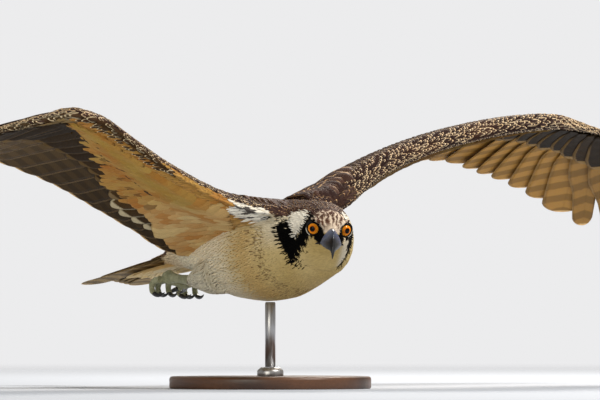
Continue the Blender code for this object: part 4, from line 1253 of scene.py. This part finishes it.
def make_upper_coverts(side, side_name):
    """Greater, median and lesser coverts on the top of the wing."""
    for tier, step, first, last, lift in (("greater", 0.85, 0.82, 1.0, 0.0044),
                                          ("median", 0.65, 0.70, 0.62, 0.0056),
                                          ("third", 0.5, 0.58, 0.38, 0.0060)):
        number = np.arange(-2.2 if tier == "greater" else 1.4, FEATHERS - 0.9, step)
        number = number + DRAW.normal(0, 0.05, len(number))
        share = curve(FLESH, number)[0]
        full = curve(UPPER_REACH, number)[0]
        end = share * 0.55 + (full - share * 0.55) * last + DRAW.normal(0, 0.006, len(number))

        def height(place, chord, t, lift=lift):
            cover = np.maximum(flesh_half(place, chord), lift * smooth(-0.2, 0.25, t))
            return cover + 0.0010 * t - 0.0035 * smooth(0.35, 0.0, t)

        outline = leaf(12)
        points, across, up, half = wing_vanes(side, number, share * first, end, height, 0.86, outline, step)
        tint = paint(DRAW.uniform(0, 0.8, len(number)), DARK_BROWN, BROWN)
        looks = feather_looks(tint, BUFF, 0.85, 0.0, 0.3)
        place, patch = rows_of(len(number), 8)
        thick = np.linspace(0.0007, 0.0003, len(outline))
        thing = plumage(f"{tier}_upper_coverts_{side_name}", points, across, up, half, outline, thick, 0.10,
                        looks, place, patch, COVERT, 7)


def make_dark_under_coverts(side, side_name):
    """Greater under coverts: dark grey-brown, fringed paler towards the hand."""
    number = np.concatenate([np.arange(2.0, 13.4, 0.8), np.arange(13.6, FEATHERS - 0.6, 1.0)])
    share = curve(FLESH, number)[0]
    end = curve(DARK_END, number)[0] + DRAW.normal(0, 0.008, len(number))
    inner = smooth(5.6, 4.4, number)
    end = end + 0.06 * inner

    def height(place, chord, t):
        return -np.maximum(flesh_half(place, chord) + 0.0002, 0.0042 * smooth(-0.2, 0.25, t)) - 0.0006 * t

    outline = leaf(14)
    points, across, up, half = wing_vanes(side, number, share * 0.5, end, height, 0.92, outline, 0.8)
    chance = DRAW.uniform(0, 1, len(number))
    hand = smooth(12.5, 15.0, number)
    black = smooth(8.0, 11.0, number)
    fringe = paint(inner, rgb(176, 140, 84), rgb(222, 206, 168))
    tint = paint(0.6 * black, paint(chance, rgb(48, 31, 8), rgb(72, 50, 18)), rgb(24, 17, 8))
    looks = feather_looks(tint, fringe, 0.25 + 0.35 * hand + 0.50 * inner, 0.3 * hand, 0.5)
    place, patch = rows_of(len(number), 6)
    thing = plumage("greater_under_coverts_" + side_name, points, across, -up, half, outline,
                    np.linspace(0.0007, 0.0003, len(outline)), 0.08, looks, place, patch, COVERT, 7)


def lining_rows(first, last, rows, step):
    """Numbers, starts, ends and rows of under coverts between two places along the wing."""
    found = []
    for k in range(rows):
        number = np.arange(first + 0.5 * step * (k % 2), last, step)
        limit = curve(LINING_END, number)[0]
        nose = np.interp(number, (-2.6, -0.5, 1.5, 3.0), (0.62, 0.45, 0.22, 0.07))
        start = (nose + (limit - nose) * (k - 0.6) / rows).clip(0.02, None)
        end = nose + (limit - nose) * (k + 1.0) / rows
        found.append((number, start, end, np.full(len(number), float(k))))
    number, start, end, row = (np.concatenate(v) for v in zip(*found))
    end = end + DRAW.normal(0, 0.010, len(number)) * (1 + (row == rows - 1))
    number = number + DRAW.normal(0, 0.15 * step, len(number))
    return number, start, end, row / (rows - 1)


def make_lining(side, side_name):
    """Soft cream and ochre under coverts, and the long axillars at the body."""
    for name, rows, step, width, low in (("wing_lining_rows_", lining_rows(4.0, 13.6, 11, 0.34), 0.34, 1.6, 0.0),
                                         ("axillars_", lining_rows(-2.6, 4.6, 8, 0.46), 0.46, 1.45, 1.0)):
        number, start, end, row = rows
        inner = smooth(5.0, 2.5, number)

        def height(place, chord, t, inner=inner, low=low, sunk=0.0035 * (row < 0.05)[:, None]):
            over = 0.0046 + 0.0045 * inner[:, None]
            cover = np.maximum(flesh_half(place, chord) + 0.0002, over)
            cover = cover * smooth(-0.5, 0.1, t) - sunk * smooth(0.45, 0.0, t)
            return -(cover + 0.0002 + 0.0007 * t + 0.0006 * low)

        outline = soft_leaf(12)
        points, across, up, half = wing_vanes(side, number, start, end, height, width, outline, step)
        root = points[:, 0]
        soft, patchy = cloud(root, 0.045, 41), cloud(root, 0.016, 43)
        chance = DRAW.uniform(0, 1, len(number))
        yellow = np.exp(-((row - 0.25) / 0.25) ** 2)
        tint = paint(0.5 + 0.50 * soft + 0.12 * patchy, rgb(182, 144, 76), rgb(172, 112, 50))
        tint = paint(0.70 * yellow, tint, rgb(166, 136, 60))
        pale = paint(0.5 + 0.5 * soft + 0.12 * patchy, rgb(214, 186, 130), rgb(184, 130, 70))
        tint = paint(inner * 0.9, tint, pale)
        # Front rows of the left wing's lining, under its leading edge, painted dark: painted shade
        tint = paint((0.8 if side > 0 else 0.0) * smooth(0.30, 0.05, row), tint, rgb(70, 52, 28))
        blot = (chance > 0.97) & (row > 0.5) & (number > 2.5)
        tint = paint(blot * 0.5, tint, rgb(62, 42, 26))
        fringe = paint(chance, rgb(196, 152, 88), rgb(216, 186, 134))
        looks = feather_looks(tint, fringe, 0.15 + 0.15 * inner, 0.0, 0.3, 0.0, 0.035)
        place, patch = rows_of(len(number), 20)
        thing = plumage(name + side_name, points, across, -up, half, outline,
                        np.linspace(0.0006, 0.0002, len(outline)), 0.16, looks, place, patch, SOFT, 5)


def make_scapulars(side, side_name):
    """Brown feathers from the shoulder over the root of the wing."""
    rows = []
    for row in range(9):
        for k in range(12 - round(0.08 * (row - 3) ** 2)):
            rows.append((-2.5 + 0.38 * k + 0.19 * (row % 2), 0.04 + 0.074 * row, row))
    number, start, row = (np.array(v, float) for v in zip(*rows))
    number = number + DRAW.normal(0, 0.10, len(number))
    start = (start + DRAW.normal(0, 0.016, len(start)) + 0.02 * np.sin(2.1 * number + row)).clip(0.02, None)
    end = np.minimum(start + 0.16 + 0.013 * row, 0.90 + 0.02 * np.sin(5 * number))
    outline = leaf(10)

    def height(place, chord, t):
        cover = np.maximum(flesh_half(place, chord), 0.0072) + 0.0012 * t + 0.0002 * row[:, None]
        return cover - 0.0035 * smooth(0.35, 0.0, t)

    points, across, up, half = wing_vanes(side, number, start, end, height, 0.80, outline, 0.5)
    tint = paint(DRAW.uniform(0, 0.8, len(number)), DARK_BROWN, BROWN)
    looks = feather_looks(tint, BUFF, 0.9, 0.0, 0.3)
    place, patch = rows_of(len(number), 11)
    thing = plumage("scapulars_" + side_name, points, across, up, half, outline,
                    np.linspace(0.0007, 0.0003, len(outline)), 0.15, looks, place, patch, COVERT, 5)


# Tail

def make_tail():
    """Twelve barred tail feathers with coverts above and below."""
    back = np.array((0.0, math.cos(TAIL_DROP), -math.sin(TAIL_DROP)))
    normal = np.array((0.0, math.sin(TAIL_DROP), math.cos(TAIL_DROP)))
    root = np.array(TAIL_ROOT)
    sets = []
    pair = np.repeat(np.arange(6), 2)
    side = np.tile([-1.0, 1.0], 6)
    level = -0.0014 * (pair + np.where((side < 0) & (pair == 0), 0, 1))
    sets.append(("tail_feathers", side * (pair + 0.5) / 5.5, np.full(12, TAIL_LENGTH), level, TAIL_SPREAD,
                 0.0165, outlines(24), FLIGHT, 9))
    for name, first, step, count, reach, rows, away, share in (
            ("upper_tail_coverts", 0.0022, -0.0018, 7, 0.060, 3, 0.0005, 0.20),
            ("under_tail_coverts", -0.0105, -0.0020, 8, 0.104, 4, -0.0016, 0.50)):
        aside = np.tile(np.linspace(-1, 1, count), rows)
        row = np.repeat(np.arange(rows), count)
        level = first + step * np.abs(aside) * 1.2 + away * row
        length = reach * (1 - 0.20 * row) * DRAW.uniform(0.96, 1.04, len(row))
        sets.append((name, aside, length, level, TAIL_SPREAD * share, 0.0105, leaf(12), COVERT, 7))
    for name, aside, length, level, spread, half, outline, mat, columns in sets:
        count, t = len(aside), vane_places(len(outline))
        x_axis = np.array((1.0, 0.0, 0.0))
        start = root + aside[:, None] * TAIL_ROOT_SPREAD * x_axis + normal * level[:, None]
        reach = length - np.abs(aside) * TAIL_CORNER_SHORT * (length > 0.1)
        tip = root + aside[:, None] * spread * x_axis + normal * level[:, None] + back * reach[:, None]
        lines = start[:, None] + (tip - start)[:, None] * t[None, :, None]
        across = unit(np.cross(np.gradient(lines, axis=1), normal))
        up = np.broadcast_to(normal, lines.shape)
        below = None
        if name == "tail_feathers":
            looks = feather_looks(np.repeat([rgb(112, 84, 62)], count, 0), rgb(226, 190, 140), 0.9, 0.8, 0.7)
            below = rgba(np.repeat([rgb(160, 134, 92)], count, 0))
        elif name == "upper_tail_coverts":
            looks = feather_looks(paint(DRAW.uniform(0, 1, count), DARK_BROWN, BROWN), BUFF, 0.8, 0.0, 0.3)
        else:
            tint = paint(DRAW.uniform(0, 1, count), rgb(214, 182, 124), rgb(226, 206, 164))
            looks = feather_looks(tint, CREAM, 0.5, 0.0, 0.3)
            up = -up
        flip = (aside > 0)[:, None, None]
        place, patch = rows_of(count, 6)
        thing = plumage(name, moved(POSE, lines), turned(POSE, np.where(flip, across, -across)),
                        turned(POSE, up), np.full((count, 1), half), outline,
                        np.linspace(0.0009, 0.0004, len(outline)), 0.03, looks, place, patch, mat,
                        columns, below)


# Head: eyes, lids and bill

EYE_RADIUS = 0.0085
EYE_ASIDE = 0.0163
EYE_BACK = 0.0072
EYE_TURN = math.radians(27.0)
IRIS_RADIUS = 0.0070
UPPER_BILL = (
    (-0.0208, 0.0064, -0.0116, 0.0122),
    (-0.0270, 0.0070, -0.0124, 0.0110),
    (-0.0340, 0.0064, -0.0130, 0.0087),
    (-0.0400, 0.0035, -0.0134, 0.0063),
    (-0.0450, -0.0020, -0.0138, 0.0036),
    (-0.0480, -0.0090, -0.0165, 0.0018),
    (-0.0488, -0.0165, -0.0200, 0.0011),
)
BILL_TIP = (0.0, -0.0478, -0.0240)
LOWER_BILL = (
    (-0.0208, -0.0124, -0.0158, 0.0100),
    (-0.0280, -0.0130, -0.0160, 0.0080),
    (-0.0350, -0.0136, -0.0160, 0.0050),
    (-0.0400, -0.0140, -0.0158, 0.0026),
)


def eye_frame(side):
    """Frame of one eye, whose -Y looks out of the pupil."""
    centre = Matrix.Translation(Vector((side * EYE_ASIDE, EYE_BACK, 0)))
    return HEAD @ centre @ Matrix.Rotation(side * EYE_TURN, 4, "Z")


def finished(name, parts, mat, replaced=(), matrix=None):
    """Smooth piece of its own from closed (points, faces), with its origin at the matrix."""
    mesh = join_up(name, parts)
    thing = new_object(name, mesh)
    if matrix is not None:
        mesh.transform(matrix.inverted())
        thing.matrix_world = matrix
    mesh.shade_smooth()
    mesh.materials.append(mat)
    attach(thing, "root")
    if replaced:
        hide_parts(*replaced)
    return thing


def eye_ball(frame_of_eye, rings=40, sides=48):
    """Ball with a slight dome over the iris, its pole on the pupil."""
    rows = []
    for row in range(1, rings):
        angle = math.pi * row / rings
        dome = 0.0004 * math.exp(-(angle / 0.55) ** 4)
        reach = EYE_RADIUS - 0.0002 + dome
        ring = []
        for k in range(sides):
            turn = 2 * math.pi * k / sides
            spot = Vector((math.sin(angle) * math.cos(turn), -math.cos(angle), math.sin(angle) * math.sin(turn)))
            ring.append(frame_of_eye @ (spot * reach))
        rows.append(ring)
    return loft(rows)


def lid(frame_of_eye, angle_in, angle_out, thick, droop, sides=56, rows=9):
    """Ring of bare lid over the eyeball: angles off the axis, drooping by a share at the brow."""
    rings = []
    for k in range(sides):
        turn = 2 * math.pi * k / sides
        high = max(math.sin(turn), 0.0)
        inner, outer = angle_in - droop * high, angle_out
        ring = []
        for row in range(rows):
            s = row / (rows - 1)
            angle = inner + (outer - inner) * s
            crease = 0.12 * math.sin(3 * math.pi * s) * (1 + 0.3 * math.sin(9 * turn))
            reach = EYE_RADIUS + 0.0002 + thick * (math.sin(math.pi * min(s * 1.15, 1.0)) ** 0.7 + crease)
            ring.append(frame_of_eye @ (Vector((math.sin(angle) * math.cos(turn), -math.cos(angle),
                                                 math.sin(angle) * math.sin(turn))) * reach))
        for row in range(rows):
            angle = outer + (inner - outer) * row / (rows - 1)
            reach = EYE_RADIUS - 0.0004
            ring.append(frame_of_eye @ (Vector((math.sin(angle) * math.cos(turn), -math.cos(angle),
                                                 math.sin(angle) * math.sin(turn))) * reach))
        rings.append(ring)
    points = [tuple(p) for ring in rings for p in ring]
    count = len(rings[0])
    faces = []
    for k in range(sides):
        after = (k + 1) % sides
        for row in range(count):
            n = (row + 1) % count
            faces.append((k * count + row, k * count + n, after * count + n, after * count + row))
    return points, faces


def lid_material():
    n = Nodes("eyelid")
    fold = n.noise(1500.0, 3.0)
    n.set("Base Color", n.mix(fold, rgb(6, 5, 5), rgb(26, 21, 20)))
    n.set("Roughness", n.math("MULTIPLY_ADD", fold, 0.3, 0.5))
    n.shader.inputs["Specular IOR Level"].default_value = 0.2
    n.bump(fold, 0.5, 0.0003)
    return n.material


def rim_material():
    """Tiny white feathers under the eye that turn black above it."""
    n = Nodes("eye_rim")
    grain = n.noise(2200.0, 3.0)
    _, _, rise = n.apart(n.place())
    colour = n.mix(n.step(n.math("MULTIPLY_ADD", grain, 0.004, rise), -0.0005, 0.0030), rgb(214, 208, 190), BLACK)
    n.set("Base Color", n.scaled(colour, n.math("MULTIPLY_ADD", grain, 0.6, 0.6)))
    n.set("Roughness", n.math("MULTIPLY_ADD", grain, 0.2, 0.7))
    n.bump(grain, 0.6, 0.0004)
    return n.material


def make_eyes():
    iris, skin_of_lid, rim_of_eye = eye_material(), lid_material(), rim_material()
    for side, side_name in ((1, "left"), (-1, "right")):
        place = eye_frame(side)
        finished("eye_" + side_name + "_ball", [eye_ball(place)], iris, ("eye_" + side_name,), place)
        finished("eyelid_" + side_name, [lid(place, math.radians(50), math.radians(60), 0.0012, 0.08)],
                 skin_of_lid, (), place)
        finished("eye_rim_" + side_name, [lid(place, math.radians(58), math.radians(70), 0.0019, 0.0)],
                 rim_of_eye, (), place)


def bill_ring(back, top, bottom, half, upper, sides=20):
    """Section with a rounded ridge and a flatter underside."""
    ring = []
    for k in range(sides):
        angle = 2 * math.pi * k / sides
        aside, rise = math.cos(angle), math.sin(angle)
        if upper:
            z = bottom + (top - bottom) * (rise if rise > 0 else 0.10 * rise)
            x = half * aside * (1 - 0.46 * max(rise, 0) ** 1.2)
        else:
            z = top + (top - bottom) * (rise if rise < 0 else 0.08 * rise)
            x = half * aside
        ring.append(Vector((x, back, z)))
    return ring


def bill_line(sizes, steps, upper):
    """Finer sections between the named ones, by how far along the bill they are."""
    keys = [(k, *row) for k, row in enumerate(sizes)]
    at = np.linspace(0, len(sizes) - 1, steps)
    back, top, bottom, half = curve(keys, at)
    return [bill_ring(*row, upper) for row in zip(back, top, bottom, half)]


def make_bill():
    rings = bill_line(UPPER_BILL, 34, True)
    tip = Vector(BILL_TIP)
    last = rings[-1]
    middle = sum(last, Vector()) / len(last)
    for share in (0.25, 0.5, 0.75, 0.93):
        rings.append([middle.lerp(tip, share) + (p - middle) * (1 - share) ** 0.75 for p in last])
    horn = horn_material("bill_horn", rgb(96, 110, 142), rgb(6, 6, 9), 0.05, 0.62,
                         (0, -0.022, 0.004), (0, -0.049, -0.020), 0.24, 0.75)
    upper = finished("bill_upper_horn", [[[tuple(HEAD @ p) for p in pts], faces] for pts, faces in
                                         [(lambda r: ([Vector(q) for q in r[0]], r[1]))(loft(rings))]],
                     horn, ("bill_upper",), HEAD)
    for side in (-1, 1):
        slit = new_object("slit", mesh_from("slit", *tube(
            [HEAD @ Vector((side * 0.0078, -0.0240, 0.0022)), HEAD @ Vector((side * 0.0084, -0.0258, 0.0012)),
             HEAD @ Vector((side * 0.0082, -0.0276, -0.0006))], [0.0003, 0.0011, 0.0003], 10)))
        outward(slit.data)
        cut = upper.modifiers.new("nostril", "BOOLEAN")
        cut.operation, cut.object, cut.solver = "DIFFERENCE", slit, "EXACT"
        graph = bpy.context.evaluated_depsgraph_get()
        mesh = bpy.data.meshes.new_from_object(upper.evaluated_get(graph))
        upper.modifiers.clear()
        upper.data = mesh
        bpy.data.objects.remove(slit)
    upper.data.shade_smooth()
    lower_rings = bill_line(LOWER_BILL, 16, False)
    points, faces = loft(lower_rings)
    finished("bill_lower_horn", [([tuple(HEAD @ Vector(p)) for p in points], faces)], horn,
             ("bill_lower",), HEAD)
    mouth = []
    for side in (-1, 1):
        line = [HEAD @ Vector((side * x, y, z)) for x, y, z in
                ((0.0078, -0.0215, -0.0114), (0.0112, -0.0165, -0.0122), (0.0142, -0.0110, -0.0138),
                 (0.0158, -0.0060, -0.0156))]
        mouth.append(tube(line, [0.0012, 0.0014, 0.0012, 0.0005], 12))
    finished("gape", mouth, lid_material())


# Legs

def smoothed(name, nodes, mat, voxel, rounds):
    """The part's own coarse solids, joined and rounded as one piece."""
    parts = [node_part(node) for node in nodes]
    thing = finished(name, parts, mat, nodes)
    remesh = thing.modifiers.new("remesh", "REMESH")
    remesh.mode, remesh.voxel_size = "VOXEL", voxel
    relax = thing.modifiers.new("relax", "SMOOTH")
    relax.factor, relax.iterations = 0.5, rounds
    graph = bpy.context.evaluated_depsgraph_get()
    mesh = bpy.data.meshes.new_from_object(thing.evaluated_get(graph))
    thing.modifiers.clear()
    thing.data = mesh
    mesh.shade_smooth()
    mesh.materials.clear()
    mesh.materials.append(mat)
    return thing


def make_legs():
    skin_of_foot = scaly_material()
    claw = horn_material("claw_horn", rgb(34, 32, 32), rgb(10, 10, 12), 0.2, 0.8, (0, 0, 0), (0, 0.02, 0), 0.2)
    for side_name in ("left", "right"):
        smoothed("leg_" + side_name, ["tarsus_" + side_name, "foot_" + side_name], skin_of_foot,
                 0.0007, 6)
        for toe in ("inner", "middle", "outer", "hind"):
            node = f"claw_{side_name}_{toe}"
            smoothed(node + "_horn", [node], claw, 0.0005, 4)


# Stand

def lathe(profile, sides=128):
    rings = [[Vector((r * math.cos(a), r * math.sin(a), z))
              for a in (2 * math.pi * k / sides for k in range(sides))] for r, z in profile]
    return loft(rings)


def make_stand():
    (_, low), (_, high) = ((p, p.z) for p in map(Vector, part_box("stand_base")))
    radius = Vector(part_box("stand_base")[1]).x
    edge = 0.0035
    profile = [(radius * 0.2, low), (radius - 0.0015, low), (radius, low + 0.0015)]
    for k in range(9):
        angle = math.pi / 2 * k / 8
        profile.append((radius - edge + edge * math.cos(angle), high - edge + edge * math.sin(angle)))
    profile += [(radius * 0.86, high), (radius * 0.85, high - 0.0006), (radius * 0.84, high), (0.004, high)]
    finished("stand_base_wood", [lathe(profile)], wood_material(), ("stand_base",))
    steel = steel_material()
    low, high = (Vector(v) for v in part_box("stand_collar"))
    radius = high.x
    profile = [(0.002, low.z), (radius - 0.0004, low.z), (radius, low.z + 0.0006)]
    profile += [(radius, low.z + 0.0055), (radius * 0.95, low.z + 0.0070), (radius * 0.80, high.z - 0.0012),
                (radius * 0.72, high.z), (0.002, high.z)]
    finished("stand_collar_steel", [lathe(profile, 64)], steel, ("stand_collar",))
    low, high = (Vector(v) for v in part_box("stand_rod"))
    profile = [(0.001, low.z), (high.x, low.z), (high.x, high.z - 0.001), (high.x - 0.001, high.z), (0.001, high.z)]
    finished("stand_rod_steel", [lathe(profile, 48)], steel, ("stand_rod",))


# Stage, light and camera

VIEW_TURN = math.radians(-35.0)
FRAME_WIDTH = 600 / 880
CAMERA_AWAY = 20.0
PALE = rgb(236, 236, 237)


def make_stage():
    bpy.ops.mesh.primitive_circle_add(vertices=128, radius=4.0, fill_type="NGON", location=(0, 0, 0))
    floor = bpy.context.object
    floor.name = "floor"
    n = Nodes("floor")
    grain = n.noise(60.0, 3.0)
    n.set("Base Color", n.mix(grain, (0.549, 0.594, 0.671), (0.577, 0.624, 0.705)))
    n.set("Roughness", n.math("MULTIPLY_ADD", grain, 0.1, 0.8))
    x, y, _ = n.apart(n.place())
    reach = n.math("SQRT", n.math("ADD", n.math("MULTIPLY", x, x), n.math("MULTIPLY", y, y)))
    n.set("Alpha", n.step(reach, 0.8, 3.2, 1.0, 0.0))
    floor.data.materials.append(n.material)


def area_light(name, place, target, size, power, colour):
    light = bpy.data.lights.new(name, "AREA")
    light.shape = "DISK"
    light.size, light.energy, light.color = size, power, colour
    thing = bpy.data.objects.new(name, light)
    bpy.context.scene.collection.objects.link(thing)
    thing.location = place
    thing.rotation_euler = (Vector(target) - Vector(place)).to_track_quat("-Z", "Y").to_euler()


def make_light_and_camera():
    right = Vector((math.cos(VIEW_TURN), math.sin(VIEW_TURN), 0))
    towards = Vector((math.sin(VIEW_TURN), -math.cos(VIEW_TURN), 0))
    up = Vector((0, 0, 1))
    area_light("key", BACK + right * 1.6 + up * 1.9 + towards * 0.9, BACK, 0.7, 62.0, (1.0, 0.96, 0.90))
    area_light("rim", BACK + right * 0.4 + up * 1.3 - towards * 1.8, BACK, 0.8, 40.0, (1.0, 0.93, 0.84))
    area_light("fill", BACK - right * 1.2 + towards * 2.2 - up * 0.05, BACK, 1.4, 22.0, (1.0, 0.95, 0.82))
    scene = bpy.context.scene
    world = bpy.data.worlds.new("studio")
    scene.world = world
    world.use_nodes = True
    tree = world.node_tree
    background = tree.nodes["Background"]
    background.inputs["Color"].default_value = (*PALE, 1.0)
    background.inputs["Strength"].default_value = 1.0
    lighting = tree.nodes.new("ShaderNodeBackground")
    lighting.inputs["Color"].default_value = (1.0, 0.96, 0.90, 1.0)
    lighting.inputs["Strength"].default_value = 0.36
    path = tree.nodes.new("ShaderNodeLightPath")
    mix = tree.nodes.new("ShaderNodeMixShader")
    tree.links.new(path.outputs["Is Camera Ray"], mix.inputs[0])
    tree.links.new(lighting.outputs[0], mix.inputs[1])
    tree.links.new(background.outputs[0], mix.inputs[2])
    tree.links.new(mix.outputs[0], tree.nodes["World Output"].inputs[0])
    scene.view_settings.view_transform = "Standard"
    camera = bpy.data.cameras.new("camera")
    camera.lens = camera.sensor_width * CAMERA_AWAY / FRAME_WIDTH
    camera.clip_end = 100.0
    holder = bpy.data.objects.new("camera", camera)
    scene.collection.objects.link(holder)
    target = BACK + right * (2 / 880) + up * (13 / 880)
    holder.location = target + towards * CAMERA_AWAY
    holder.rotation_euler = (-towards).to_track_quat("-Z", "Y").to_euler()
    scene.camera = holder


def colour_skin():
    """The skin between feathers has the markings of the coat."""
    looks = Marks(POINTS, NORMALS).looks()
    set_colours(SKIN.data, "tint", looks["tint"])
    SKIN.data.materials.clear()
    SKIN.data.materials.append(skin_material())


colour_skin()
make_small_feathers()
for wing_side, wing_name in ((1, "left"), (-1, "right")):
    make_flight(wing_side, wing_name)
    make_upper_coverts(wing_side, wing_name)
    make_dark_under_coverts(wing_side, wing_name)
    make_lining(wing_side, wing_name)
    make_scapulars(wing_side, wing_name)
make_tail()
make_eyes()
make_bill()
make_legs()
make_stand()
make_stage()
make_light_and_camera()
